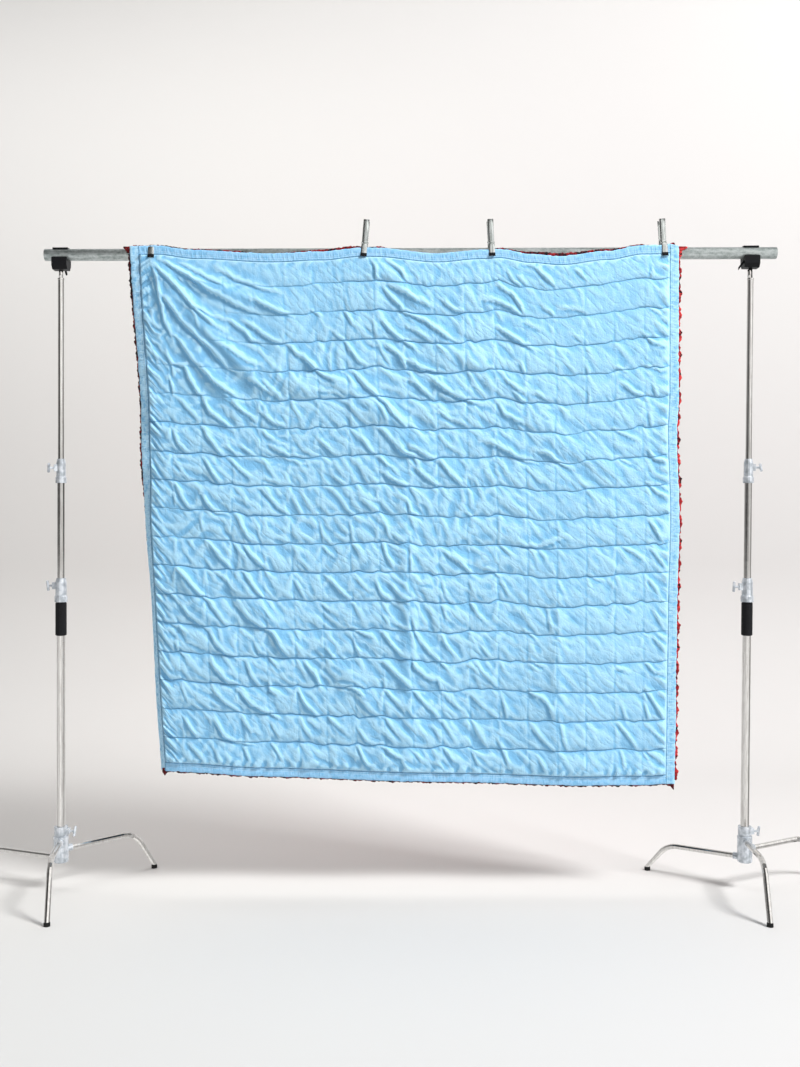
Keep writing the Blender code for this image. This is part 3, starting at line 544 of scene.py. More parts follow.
def blackMaterial(name, color, rough, grainScale, grain, metal=0.0):
    shade = Shade(name)
    grains = shade.noise(shade.place(), grainScale, 3.0)
    edge = shade.blend(shade.ramp(grains, 0.3, 0.7), color, tuple(min(1, c * 1.9) for c in color[:3]) + (1,))
    return shade.paint(color=edge, rough=rough, metal=metal, gloss=0.15, normal=shade.bump(grains * grain, 0.6))


panel = {
    "rowsInChannel": 16,
    "columnsInCell": 19,
    "crown": 0.0100,  # proud of the seam at the middle of a channel
    "crownPower": 0.42,
    "sag": 0.85,  # under 1, a channel is fullest above its lower stitch line
    "columnDip": 0.16,
    "columnWidth": 0.004,
    "droop": 0.35,
    "lineSway": 0.0040,
    "lineKink": 0.0060,  # step of a stitch line where a fold crosses it
    "lineScallop": 0.0026,
    "seamGather": 0.0050,
    "seed": 11,
    "creaseHeight": 0.0092,
    "longCrease": 0.22,
    "softSide": (0.007, 0.018),
    "steepSide": 0.0048,
    "crestOff": 0.0045,  # from the trough to the top of the fold
    "troughHalf": 0.0042,
    "troughShare": 0.80,
    "crumple": 0.0020,
    "spare": 0.030,  # cloth to spare across the folds
    "gatherSteps": 120,
    "softness": 0.10,
    "holdLine": 0.30,
    "holdColumn": 0.04,
    "shadeAndWearDepth": 0.003,
    "backRows": 8,
    "backColumns": 5,
    "backCrown": 0.0052,
    "backUneven": 0.0012,
    "wadding": 0.25,  # the cloth never sinks under this share of the fullness
}
# creases read from enlarged views: strength in tenths, then x and z of each point down it in millimetres
creases = (
    (10, -982, 2574, -897, 2517, -840, 2488, -766, 2439, -693, 2399, -652, 2376, -571, 2350),
    (6, -913, 2562, -848, 2529, -734, 2472, -709, 2460), (6, -734, 2519, -652, 2484, -571, 2456, -489, 2439),
    (9, -595, 2407, -530, 2378, -489, 2358, -440, 2342),
    (10, -1003, 2554, -962, 2505, -913, 2456, -864, 2399, -815, 2350, -766, 2313, -725, 2285),
    (9, -701, 2325, -636, 2276, -611, 2244, -571, 2232), (5, -840, 2382, -791, 2358, -734, 2333, -701, 2317),
    (9, -636, 2317, -571, 2276, -522, 2244, -473, 2232),
    (10, -978, 2439, -897, 2325, -831, 2252, -774, 2203, -709, 2126, -668, 2113),
    (7, -628, 2089, -571, 2056, -489, 2007), (9, -1011, 2545, -978, 2399, -962, 2317, -937, 2260),
    (9, -913, 2252, -880, 2203, -856, 2162, -815, 2122),
    (10, -925, 2146, -884, 2134, -868, 2089, -831, 2024, -791, 2003),
    (9, -815, 2122, -774, 2081, -717, 2040, -668, 2011), (10, -807, 1999, -783, 1950, -734, 1918, -685, 1893),
    (7, -897, 1999, -864, 1958, -831, 1926), (6, -717, 2219, -668, 2187, -620, 2154, -571, 2142),
    (9, -456, 2219, -424, 2187, -367, 2150, -346, 2109), (7, -571, 2089, -538, 2056, -497, 2024),
    (8, -571, 1950, -530, 1918, -473, 1893), (9, -693, 1991, -636, 1950, -579, 1901), (6, -1027, 2203, -986, 2162),
    (8, -962, 2195, -937, 2150, -929, 2105), (8, -942, 2089, -929, 2024), (6, -1043, 2358, -1011, 2317, -986, 2301),
    (5, -367, 2366, -326, 2333), (5, -1027, 2513, -982, 2399), (10, -126, 2582, -110, 2545, -106, 2496),
    (10, -73, 2578, -37, 2554, -4, 2525, 16, 2488), (9, -77, 2464, -45, 2423, -4, 2382, 12, 2350),
    (7, -61, 2472, 4, 2439, 69, 2407, 135, 2374), (9, 167, 2407, 216, 2374, 265, 2354),
    (10, -82, 2329, -45, 2285, 4, 2248, 53, 2211),
    (9, 4, 2358, 53, 2342, 102, 2317, 143, 2285, 183, 2260, 240, 2236), (8, 20, 2301, 69, 2276, 118, 2240),
    (8, -232, 2358, -200, 2317, -175, 2293), (6, -110, 2317, -102, 2252), (6, -289, 2285, -249, 2252, -224, 2240),
    (10, -65, 2223, -12, 2193, 12, 2146, 20, 2126), (5, 29, 2232, 69, 2203),
    (10, 20, 2162, 69, 2138, 118, 2113, 183, 2111), (7, -224, 2236, -208, 2195),
    (8, -204, 2207, -175, 2170, -143, 2146), (5, -86, 2203, -61, 2170, -37, 2138),
    (10, -371, 2154, -338, 2113, -289, 2089, -257, 2073),
    (10, -187, 2113, -143, 2056, -102, 2016, -61, 1983, -37, 1950, 29, 1885), (6, -224, 2113, -200, 2073),
    (8, -338, 2040, -273, 2032, -224, 2007), (9, 29, 2081, 69, 2056, 102, 2024, 135, 1999),
    (10, 135, 2073, 167, 2044, 216, 2028, 265, 1999, 346, 1975), (6, -224, 1991, -192, 1958, -167, 1926),
    (7, -102, 1991, -77, 1958, -61, 1918), (8, 151, 1950, 200, 1918, 265, 1893), (5, 273, 1975, 306, 1942),
    (10, 493, 2554, 542, 2545, 583, 2513, 624, 2472), (8, 705, 2537, 730, 2513, 754, 2488),
    (6, 428, 2529, 452, 2496, 493, 2472), (6, 477, 2513, 509, 2468),
    (9, 395, 2456, 452, 2431, 477, 2399, 501, 2358), (8, 338, 2411, 395, 2391, 444, 2374, 501, 2350),
    (9, 575, 2391, 599, 2370, 624, 2350), (10, 395, 2293, 444, 2260, 493, 2236, 542, 2211),
    (5, 501, 2325, 534, 2305, 575, 2293), (6, 656, 2374, 713, 2366, 754, 2350), (6, 697, 2268, 730, 2244),
    (8, 485, 2154, 505, 2105), (9, 420, 2081, 461, 2056, 501, 2032), (9, 461, 2032, 493, 1999, 518, 1987),
    (7, 534, 2032, 583, 2007, 615, 1987), (6, 754, 2138, 762, 2105),
    (10, 395, 1983, 420, 1942, 461, 1922, 509, 1901), (10, 901, 2064, 950, 2032, 990, 2011),
    (6, 1023, 2545, 1015, 2505), (7, 1007, 2374, 1064, 2350), (10, 990, 2268, 1023, 2236, 1080, 2219),
    (7, 999, 2138, 1080, 2117), (7, 1023, 2064, 1039, 2024), (6, 575, 1950, 607, 1926), (7, 876, 2130, 925, 2113),
    (6, 762, 2040, 762, 1991), (5, 338, 2073, 371, 2048), (7, 1007, 1958, 1023, 1901),
    (10, -807, 1885, -783, 1844, -750, 1804, -709, 1771), (8, -929, 1885, -909, 1836, -864, 1787),
    (8, -717, 1820, -677, 1787, -660, 1763), (6, -652, 1812, -603, 1779), (9, -538, 1820, -505, 1791, -448, 1771),
    (10, -799, 1755, -774, 1714, -742, 1673, -734, 1657), (9, -689, 1755, -660, 1722, -611, 1685),
    (8, -562, 1677, -505, 1665, -481, 1657), (5, -913, 1755, -889, 1714, -864, 1681),
    (8, -917, 1665, -901, 1624, -872, 1575, -840, 1551), (10, -811, 1616, -791, 1575, -758, 1543, -709, 1535),
    (9, -571, 1641, -530, 1600, -489, 1559, -456, 1539), (5, -636, 1624, -636, 1584), (6, -925, 1632, -921, 1575),
    (7, -668, 1518, -628, 1469, -603, 1437), (10, -636, 1420, -611, 1380, -571, 1331, -546, 1298),
    (9, -783, 1420, -750, 1380, -709, 1331, -685, 1306), (5, -889, 1396, -848, 1339), (6, -791, 1347, -758, 1306),
    (8, -1003, 1396, -962, 1339), (10, -636, 1298, -603, 1249, -571, 1200, -538, 1176),
    (9, -905, 1306, -864, 1266, -815, 1209, -774, 1176), (7, -750, 1306, -709, 1266, -668, 1217),
    (7, -432, 1266, -408, 1217), (6, -416, 1355, -367, 1306), (6, -815, 1510, -807, 1461),
    (7, -1011, 1282, -970, 1233, -913, 1192), (7, -946, 1225, -905, 1176), (6, -868, 1429, -840, 1388),
    (5, -424, 1820, -359, 1779), (10, -94, 1885, -37, 1836, 4, 1795, 53, 1767, 69, 1738),
    (10, 20, 1812, 77, 1795, 118, 1771, 151, 1755), (8, -167, 1853, -135, 1804, -102, 1771),
    (9, -86, 1763, -53, 1734, -20, 1722), (10, -77, 1706, -45, 1681, 4, 1661, 45, 1649),
    (9, 53, 1730, 102, 1689, 143, 1657, 167, 1641), (6, 151, 1853, 183, 1812, 232, 1779),
    (8, -338, 1836, -298, 1804, -265, 1779), (8, -273, 1689, -224, 1657), (8, 151, 1747, 208, 1689, 257, 1649),
    (6, 37, 1641, 69, 1592, 102, 1575), (10, 29, 1584, 37, 1543, 86, 1526), (7, -61, 1502, -53, 1461),
    (9, -29, 1457, 20, 1420), (9, -77, 1420, -61, 1372, -29, 1315), (5, -61, 1420, -12, 1396, 20, 1380),
    (8, 37, 1396, 41, 1282), (8, 175, 1388, 232, 1347, 289, 1290), (9, -102, 1266, -77, 1209, -29, 1176),
    (10, -45, 1257, -4, 1209, 53, 1176), (7, 53, 1290, 77, 1257, 126, 1249), (7, 167, 1266, 183, 1209),
    (7, -314, 1404, -265, 1363), (8, -289, 1274, -249, 1225, -216, 1200), (5, -183, 1274, -135, 1233),
    (5, 281, 1257, 298, 1209), (7, -151, 1592, -118, 1559), (7, -216, 1559, -183, 1535), (8, 265, 1551, 289, 1522),
    (5, -330, 1510, -322, 1445), (5, -208, 1518, -200, 1429), (6, 289, 1673, 293, 1641),
    (9, 330, 1832, 404, 1804, 461, 1771, 509, 1751, 550, 1747), (10, 558, 1795, 599, 1779, 632, 1751, 697, 1726),
    (7, 876, 1885, 925, 1865, 974, 1840), (9, 893, 1763, 942, 1742), (9, 1007, 1804, 1031, 1767, 1080, 1747),
    (5, 770, 1869, 803, 1836), (5, 534, 1706, 575, 1669), (9, 1007, 1665, 1039, 1632, 1080, 1608),
    (7, 738, 1665, 762, 1636), (10, 1015, 1510, 1039, 1469, 1064, 1437),
    (8, 493, 1420, 518, 1404, 575, 1412, 673, 1441), (9, 1015, 1396, 1047, 1355, 1080, 1315),
    (8, 901, 1404, 950, 1380, 990, 1347), (8, 338, 1315, 379, 1298, 404, 1274),
    (6, 762, 1290, 795, 1274, 827, 1266), (9, 1007, 1266, 1047, 1217), (7, 404, 1412, 452, 1367),
    (4, 599, 1347, 624, 1298), (5, 412, 1249, 436, 1200), (5, 558, 1404, 591, 1355),
    (9, -897, 1172, -864, 1131, -823, 1098, -791, 1074), (9, -783, 1188, -750, 1139, -709, 1082),
    (10, -668, 1164, -628, 1115, -571, 1074, -530, 1058, -497, 1009, -448, 952),
    (9, -783, 1066, -758, 1017, -717, 976, -668, 952), (7, -978, 1111, -913, 1082, -856, 1058),
    (7, -917, 1025, -905, 976, -864, 952), (9, -603, 1025, -579, 976, -538, 952, -489, 903),
    (5, -652, 1058, -603, 1025), (9, -774, 935, -742, 895, -693, 846, -636, 838),
    (9, -636, 944, -611, 887, -579, 846), (10, -538, 862, -530, 821, -505, 805),
    (7, -766, 829, -709, 772, -652, 724), (10, -652, 821, -603, 764, -538, 724, -489, 699),
    (5, -889, 829, -864, 772), (8, -880, 715, -848, 650, -831, 626),
    (10, -758, 699, -725, 634, -668, 609, -603, 601), (5, -644, 699, -611, 658, -571, 642),
    (7, -530, 683, -497, 626), (7, -864, 601, -807, 536), (6, -766, 585, -734, 520), (7, -644, 593, -620, 536),
    (9, -522, 593, -489, 536), (10, -399, 944, -351, 895, -334, 829), (9, -416, 813, -375, 748, -326, 699),
    (6, -408, 683, -359, 618), (5, -962, 724, -929, 691), (5, -872, 1025, -799, 993), (6, -440, 1074, -408, 1025),
    (6, -571, 1164, -530, 1115), (9, -208, 1074, -159, 1054, -110, 1033),
    (9, -77, 1050, -45, 1009, -4, 968, 37, 944), (7, -29, 1098, 37, 1062), (10, 45, 1107, 57, 1050, 77, 1017),
    (9, 77, 1017, 118, 976, 151, 944, 192, 915), (7, -306, 993, -257, 935), (7, -200, 1033, -167, 952),
    (10, -77, 935, -37, 903, 12, 862, 53, 829), (9, 45, 952, 53, 919, 102, 878, 151, 862, 167, 813),
    (10, -249, 838, -192, 821, -143, 797), (7, -167, 789, -118, 732, -77, 699), (7, -69, 862, -69, 821),
    (9, -61, 821, -20, 781, 12, 740), (9, 53, 821, 86, 781, 135, 732, 151, 699), (7, 183, 797, 232, 756),
    (5, 167, 1025, 216, 976), (8, -306, 715, -273, 691, -216, 642), (7, -175, 666, -143, 618, -86, 585),
    (9, -175, 585, -151, 536, -118, 495), (9, -61, 699, -29, 666, 4, 630), (10, -69, 585, -20, 560, 29, 540),
    (9, 61, 569, 86, 536), (5, -77, 650, -29, 618), (7, 135, 666, 159, 618), (5, 167, 683, 208, 642),
    (7, 175, 577, 216, 528), (7, 289, 569, 314, 512), (7, 4, 544, 29, 495), (7, 143, 528, 175, 495),
    (8, 167, 1164, 183, 1115), (8, 281, 1172, 314, 1123, 346, 1098), (6, -77, 1131, -53, 1098),
    (7, -322, 1172, -273, 1139), (9, -371, 911, -338, 862, -330, 829), (7, 29, 748, 53, 707),
    (6, 281, 797, 346, 740), (7, 273, 919, 322, 878), (6, -387, 699, -330, 666), (6, 298, 666, 338, 618),
    (9, 322, 1001, 363, 952), (10, 526, 935, 583, 911), (10, 518, 813, 567, 789, 599, 756, 615, 707),
    (8, 534, 666, 575, 618, 624, 577), (8, 876, 911, 925, 903), (9, 999, 927, 1023, 903, 1064, 878),
    (10, 999, 821, 1039, 756, 1072, 699), (7, 990, 772, 1007, 707), (8, 1007, 675, 1056, 626),
    (9, 876, 683, 925, 626, 958, 585), (8, 395, 618, 412, 577, 436, 512), (9, 558, 544, 583, 495),
    (6, 591, 1172, 607, 1066), (6, 355, 732, 395, 699), (7, 412, 789, 432, 699), (6, 893, 569, 909, 495),
    (8, 999, 577, 1039, 544), (6, 1023, 1147, 1064, 1082), (10, 1023, 1041, 1056, 1001, 1080, 976),
    (5, 787, 1025, 811, 993), (6, 909, 1164, 950, 1139), (7, 493, 1066, 550, 1033), (5, 893, 764, 917, 691),
    (5, 648, 699, 656, 626, 673, 585), (7, 306, 919, 355, 862, 395, 829),
)


def addCrease(height, x, z, row):
    # a trough with a fold over its upper right side, steep towards the trough and soft beyond
    path = np.array(row[1:], float).reshape(-1, 2) / 1000
    steps = np.diff(path, axis=0)
    run = np.concatenate([[0.0], np.cumsum(np.hypot(*steps.T))])
    size = min(run[-1] / panel["longCrease"], 1.0)
    soft = mix(*panel["softSide"], size)
    reach = 2.6 * soft
    near = (x > path[:, 0].min() - reach) & (x < path[:, 0].max() + reach)
    near &= (z > path[:, 1].min() - reach) & (z < path[:, 1].max() + reach)
    px, pz = x[near], z[near]
    best, side, along = np.full(px.shape, 9.0), np.zeros(px.shape), np.zeros(px.shape)
    for k, (dx, dz) in enumerate(steps):
        s = np.clip(((px - path[k, 0]) * dx + (pz - path[k, 1]) * dz) / (dx * dx + dz * dz), 0.0, 1.0)
        ox, oz = px - path[k, 0] - s * dx, pz - path[k, 1] - s * dz
        away = np.hypot(ox, oz)
        closer = away < best
        best = np.where(closer, away, best)
        side = np.where(closer, np.sign(dx * oz - dz * ox), side)
        along = np.where(closer, mix(run[k], run[k + 1], s) / run[-1], along)
    off = best * side - panel["crestOff"]
    crest = np.exp(-((off / np.where(off > 0, soft, panel["steepSide"])) ** 2))
    trough = np.exp(-(((best * side + 0.001) / panel["troughHalf"]) ** 2))
    fade = smooth(-0.10, 0.15, along) * smooth(1.12, 0.72, along)
    rise = panel["creaseHeight"] * row[0] / 10 * mix(0.62, 1.0, size)
    height[near] += rise * fade * (crest - panel["troughShare"] * trough)


def evenLines(first, pitch, count):
    return np.array([0.0] + [first + k * pitch for k in range(count)] + [1.0])


def stitchShares():
    return evenLines(hang["firstStitch"], hang["stitchPitch"], hang["channels"] - 1)


def columnShares():
    return evenLines(hang["firstColumn"], hang["columnPitch"], hang["uprights"])


def placesBetween(lines, count, crowd):
    # places along a run of lines, closer together beside each line
    steps = np.arange(count) / count
    steps = mix(steps, (1 - np.cos(np.pi * steps)) / 2, crowd)
    return np.append(np.concatenate([mix(a, b, steps) for a, b in zip(lines, lines[1:])]), lines[-1])


def cellShare(lines, place):
    k = np.clip(np.searchsorted(lines, place, side="right") - 1, 0, len(lines) - 2)
    return k, (place - lines[k]) / (lines[k + 1] - lines[k])


# slanted folds all over: angle, pitch, length, height
drags = (
    (-38, 0.052, 0.30, 0.0023),
    (-50, 0.036, 0.20, 0.0018),
    (-60, 0.027, 0.10, 0.0012),
)


def dragFolds(x, z):
    total = np.zeros(x.shape)
    for k, (slant, pitch, length, height) in enumerate(drags):
        alongIt, acrossIt = turnBy(x, z, math.radians(slant))
        phase = acrossIt / pitch + 0.9 * softNoise(alongIt / 0.20, acrossIt / 0.13, 51 + k)
        share = phase - np.floor(phase)
        fold = smooth(0.0, 0.24, share) * (1 - share) ** 1.3 * 1.4 - 0.35
        strength = softNoise(alongIt / length, phase, 61 + k)
        patch = smooth(-0.5, 0.5, softNoise(x / 0.30 + 9 * k, z / 0.30, 71 + k))
        total += height * smooth(-0.1, 0.9, strength) * patch * fold
    return total * mix(1.0, 0.5, smooth(0.35, 0.95, x))


def seamGathers(x, z, across, down):
    # short slanted gathers beside each seam
    fromLeft = across * (clothWidth() - 0.06)
    fromRight = (1 - across) * (clothWidth() - 0.06)
    fromTop = down * clothHeight()
    fromBottom = (1 - down) * clothHeight()
    slope = mix(1.3, -0.8, smooth(2.30, 2.45, z))
    left = softNoise((z + slope * fromLeft) / 0.013, fromLeft / 0.06, 81) * smooth(0.075, 0.01, fromLeft)
    right = softNoise((z - 0.6 * fromRight) / 0.018, fromRight / 0.08, 82) * smooth(0.080, 0.01, fromRight)
    top = softNoise((x + 0.5 * fromTop) / 0.016, fromTop / 0.05, 83) * smooth(0.040, 0.004, fromTop)
    bottom = softNoise((x - 0.3 * fromBottom) / 0.016, fromBottom / 0.06, 84) * smooth(0.060, 0.006, fromBottom)
    return left * 1.6 + right * 1.0 + top * 0.4 + bottom * 0.9


tack = {
    "rise": 0.0040,
    "peak": 0.026,  # from a crossing of stitch lines to the top of the folds that hang from it
    "half": 0.0045,
    "spread": 0.10,
    "turns": (-52, -98, -28),
    "stray": (14, 16, 10),
    "share": (1.0, 0.8, 0.6),
    "dimple": 0.0042,
    "dimpleHalf": 0.0042,
    "dimpleHigh": 0.016,
}


def tackFolds(x, z, across, down):
    # short folds that hang from each crossing of the stitch lines, and a dimple above it
    lines, columns = stitchShares(), columnShares()
    row, _ = cellShare(lines, down)
    column, _ = cellShare(columns, across)
    downs, acrosses = np.meshgrid(lines, columns, indexing="ij")
    v = panelV(downs)
    crossX, crossZ = onCloth(insideBorders(acrosses, v), v)
    rng = np.random.default_rng(panel["seed"] + 1)
    chance = rng.random((3, *crossX.shape))
    stray = rng.uniform(-1.0, 1.0, (4, *crossX.shape))
    total = np.zeros(x.shape)
    for right in (0, 1):
        at = (row, column + right)
        dx, dz = x - crossX[at], z - crossZ[at]
        for k, turn in enumerate(tack["turns"]):
            way = np.radians(turn + tack["stray"][k] * stray[k][at])
            far = dx * np.cos(way) + dz * np.sin(way)
            off = dz * np.cos(way) - dx * np.sin(way)
            grown = np.clip(far, 0.0, None) / tack["peak"]
            half = (tack["half"] + tack["spread"] * np.clip(far, 0.0, None)) * np.where(off > 0, 1.3, 0.6)
            size = tack["share"][k] * np.clip(1.7 * chance[k][at] - 0.45, 0.0, 1.2)
            total += tack["rise"] * size * grown * np.exp(1 - grown) * np.exp(-((off / half) ** 2))
        at = (row + 1, column + right)
        dx, dz = x - crossX[at], z - crossZ[at]
        off = dx + 0.5 * stray[3][at] * dz
        deep = 0.4 + 0.8 * chance[0][at]
        above = np.exp(-np.clip(dz, 0.0, None) / tack["dimpleHigh"])
        total -= tack["dimple"] * deep * above * np.exp(-((off / tack["dimpleHalf"]) ** 2))
    return total * mix(1.0, 0.6, smooth(0.35, 0.8, x))


def crumple(x, z):
    # small sharp creases of washed cotton, longer down to the right
    turn = foldWay(x, z)
    middle = math.radians(-48)
    alongIt, acrossIt = turnBy(x, z, middle)
    bent = acrossIt + 0.25 * (turn - middle) * alongIt
    large = np.abs(softNoise(alongIt / 0.085, bent / 0.036, 75))
    small = np.abs(softNoise(alongIt / 0.040, bent / 0.021, 76))
    finest = np.abs(softNoise(x / 0.030, z / 0.026, 77))
    calm = mix(1.0, 0.45, smooth(0.2, 0.75, x)) * mix(1.0, 0.4, smooth(2.05, 2.35, z) * smooth(-0.75, -0.5, x))
    return panel["crumple"] * calm * (1.5 - large * 1.6 - small * 0.9 - finest * 0.5)


def pillow(share):
    return np.sin(np.pi * np.clip(share, 0.0, 1.0) ** (1 / panel["sag"])) ** panel["crownPower"]


def faceHeights(x, z, across, down):
    lines, columns = stitchShares(), columnShares()
    channel, t = cellShare(lines, down)
    column, s = cellShare(columns, across)
    rng = np.random.default_rng(panel["seed"])
    fullness = rng.uniform(0.85, 1.15, (len(lines), len(columns)))[channel, column]
    fullness = mix(1.0, fullness, (np.sin(np.pi * t) * np.sin(np.pi * s)) ** 0.5)
    toColumn = toEdge(s) * hang["columnPitch"] * clothWidth()
    dip = panel["columnDip"] * np.exp(-((toColumn / panel["columnWidth"]) ** 2))
    dip *= smooth(0.03, 0.06, across) * smooth(0.03, 0.06, 1 - across)
    free = smooth(0.78, 0.25, fromFirstClamp(x, z))  # beside the first clamp the folds hide the stitch lines
    rim = np.minimum(np.minimum(across / 0.004, (1 - across) / 0.010), 1.0) ** 0.5
    full = mix(pillow(t), np.minimum(pillow(down / 0.10 / 2), 1.0), free)
    full = np.where(down < 0.05, np.minimum(full, pillow(np.clip(down / 0.0932, 0, 0.5))), full)
    strong = 0.85 + 0.3 * softNoise(x / 0.15, z / 0.3, 74)
    body = panel["crown"] * full * fullness * (1 - dip) * rim * mix(0.75, 1.0, smooth(0.02, 0.2, down)) * strong
    loose = smooth(0.0, 0.02, down) * smooth(0.0, 0.012, 1 - down)
    loose = loose * smooth(0.0, 0.012, across) * smooth(0.0, 0.012, 1 - across)
    ridges = np.zeros(x.shape)
    for row in creases:
        addCrease(ridges, x, z, row)
    toLine = toEdge(t) * hang["stitchPitch"] * clothHeight()
    held = mix(mix(0.35, 1.0, free), 1.0, smooth(0.0, 0.008, toLine))  # the stitches hold the folds down
    gather = panel["seamGather"] * seamGathers(x, z, across, down)
    tacks = tackFolds(x, z, across, down) * (1 - 0.8 * free) * mix(0.45, 1.0, smooth(0.06, 0.2, down))
    extra = (ridges + dragFolds(x, z) + crumple(x, z) + tacks) * held * loose
    return body, extra + gather * smooth(0.0, 0.004, toEdge(across))


def foldWay(x, z):
    # the angle at which the folds run, in radians
    turn = np.radians(-50 + 13 * softNoise(x / 0.24, z / 0.24, 95))
    turn = mix(turn, math.radians(-36), 0.6 * smooth(1.7, 2.3, z) * smooth(-0.4, 0.1, x))
    for fromX, fromZ, reach in ((-1.004, 2.60, 1.0), (-0.128, 2.60, 0.45), (0.383, 2.60, 0.35)):
        r = np.hypot(x - fromX, z - fromZ)
        radial = np.arctan2(z - fromZ, x - fromX) + 0.2 * r
        turn = mix(turn, np.clip(radial, -1.6, -0.25), smooth(reach, 0.5 * reach, r) * smooth(-0.1, 0.05, x - fromX))
    return turn


def spareCloth(x, z):
    # share of cloth to spare across the folds
    spare = mix(1.0, 0.45, smooth(0.25, 0.80, x)) * mix(1.0, 0.72, smooth(2.0, 2.4, z))
    calm = smooth(-0.62, -0.45, x) * smooth(-0.10, -0.2, x) * smooth(2.12, 2.3, z)
    patches = 0.8 + 0.45 * softNoise(x / 0.22, z / 0.16, 96)
    awayShare = smooth(0.05, 0.2, fromFirstClamp(x, z))
    return panel["spare"] * spare * (1 - 0.85 * calm) * awayShare * np.clip(patches, 0.25, 1.5)


def edgePairs(points):
    # every thread between neighbours, in sets in which no point comes twice
    for k in (0, 1):
        last = (points.shape[1] - k) // 2 * 2 + k
        yield points[:, k:last:2], points[:, k + 1:last:2]
        last = (points.shape[0] - k) // 2 * 2 + k
        yield points[k:last:2], points[k + 1:last:2]
        yield points[k:last:2, :-1], points[k + 1:last:2, 1:]
        yield points[k:last:2, 1:], points[k + 1:last:2, :-1]


def gatherCloth(start, least, lineHold, columnHold):
    # the cloth is a little too big for its stitch lines, so it rises in folds until each thread has its length
    way, spare = foldWay(start[..., 0], start[..., 2]), spareCloth(start[..., 0], start[..., 2])
    crossing = np.stack([-np.sin(way), 0 * way, np.cos(way)], axis=-1) * spare[..., None]
    lengths = []
    for (a, b), (gainA, gainB) in zip(edgePairs(start), edgePairs(crossing)):
        thread = b - a
        gain = (gainA + gainB) / 2
        amount = np.linalg.norm(gain, axis=-1, keepdims=True) + 1e-9
        across = gain / amount
        wanted = thread + across * amount * (thread * across).sum(-1, keepdims=True)
        lengths.append(np.linalg.norm(wanted, axis=-1))
    points = start.copy()
    soft = panel["softness"]
    for step in range(panel["gatherSteps"]):
        for (a, b), length in zip(edgePairs(points), lengths):
            thread = b - a
            now = np.sqrt((thread * thread).sum(-1)) + 1e-9
            thread *= ((now - length) / now * 0.45)[..., None]
            a += thread
            b -= thread
        strayed = points - start
        strayed[1:-1, 1:-1] = mix(strayed[1:-1, 1:-1], meanAround(strayed), soft)
        strayed *= 1 - lineHold[..., None]
        strayed[..., 1] *= 1 - columnHold
        points = start + strayed
        points[..., 1] = np.minimum(points[..., 1], least)
    return points


def panelGrid(rowsInChannel, columnsInCell, crowdAcross):
    # the shares down and across the panel of each point, its x and z, and its place on the cloth
    downs = placesBetween(stitchShares(), rowsInChannel, 0.8)
    acrosses = placesBetween(columnShares(), columnsInCell, crowdAcross)
    down, across = np.meshgrid(downs, acrosses, indexing="ij")
    v = panelV(down)
    uv = np.stack([across * clothWidth(), (1 - down) * clothHeight()], axis=-1)
    return down, across, *onCloth(insideBorders(across, v), v), uv


def buildFace(name, material):
    down, across, x, z, uv = panelGrid(panel["rowsInChannel"], panel["columnsInCell"], 0.2)
    body, extra = faceHeights(x, z, across, down)
    seam = hang["clothY"] - foldRise(x, z) - hang["seamThick"] / 2
    proud = body + np.maximum(extra, -0.8 * body - 0.001)
    points = np.stack([x, seam - proud, z], axis=-1)
    inner = smooth(0.0, 0.02, toEdge(across)) * smooth(0.0, 0.02, toEdge(down))
    _, t = cellShare(stitchShares(), down)
    _, s = cellShare(columnShares(), across)
    sway = panel["lineSway"] * softNoise(x / 0.10, z / 0.30, 91)
    sway += (
        panel["lineKink"] * (0.5 - s) * softNoise(np.floor(x / 0.1), z / 0.12, 93)
        * smooth(0.0, 0.12, s) * smooth(1.0, 0.88, s)
    )
    sway += 0.5 * panel["lineKink"] * softNoise(x / 0.028, z / 0.12, 94)
    scallop = panel["lineScallop"] * np.sin(np.pi * s) ** 2
    points[..., 2] += (sway - scallop) * inner - panel["droop"] * body * smooth(0.0, 0.03, 1 - down)
    points[..., 0] += 0.003 * softNoise(x / 0.3, z / 0.09, 92) * inner
    onLine = toEdge(t) < 1e-4
    onColumn = toEdge(s) < 1e-4
    lineHold = np.where(onLine, panel["holdLine"], 0.0)
    lineHold[[0, -1]] = 1.0
    lineHold[:, [0, -1]] = 1.0
    columnHold = np.where(onColumn, panel["holdColumn"], 0.0) + np.where(onLine, 0.5, 0.0)
    least = seam - panel["wadding"] * body
    points = gatherCloth(points, least, lineHold, columnHold)
    loose = 0.35 * (1 - onLine[1:-1, 1:-1])[..., None]
    points[1:-1, 1:-1] = mix(points[1:-1, 1:-1], meanAround(points), loose)
    middle = seam + hang["seamThick"] / 2
    for rim in rims:
        points[rim][..., 1] = middle[rim]  # turned in, to meet the backing
    face = sheetFrom(name, points, uv, material)
    high = seam - points[..., 1]
    level = high.copy()
    for spread in range(6):
        level[1:-1, 1:-1] = meanAround(level)
    stitched = smooth(0.30, 0.80, fromFirstClamp(x, z))
    # painted shade in the creases and paler wear on the ridges, from each point's height over its surroundings
    shares = {"wear": 0.5 + (high - level) / panel["shadeAndWearDepth"], "stitched": stitched}
    for key, value in shares.items():
        layer = face.data.attributes.new(key, "FLOAT", "POINT")
        layer.data.foreach_set("value", np.clip(value, 0.0, 1.0).astype(np.float32).ravel())
    return face


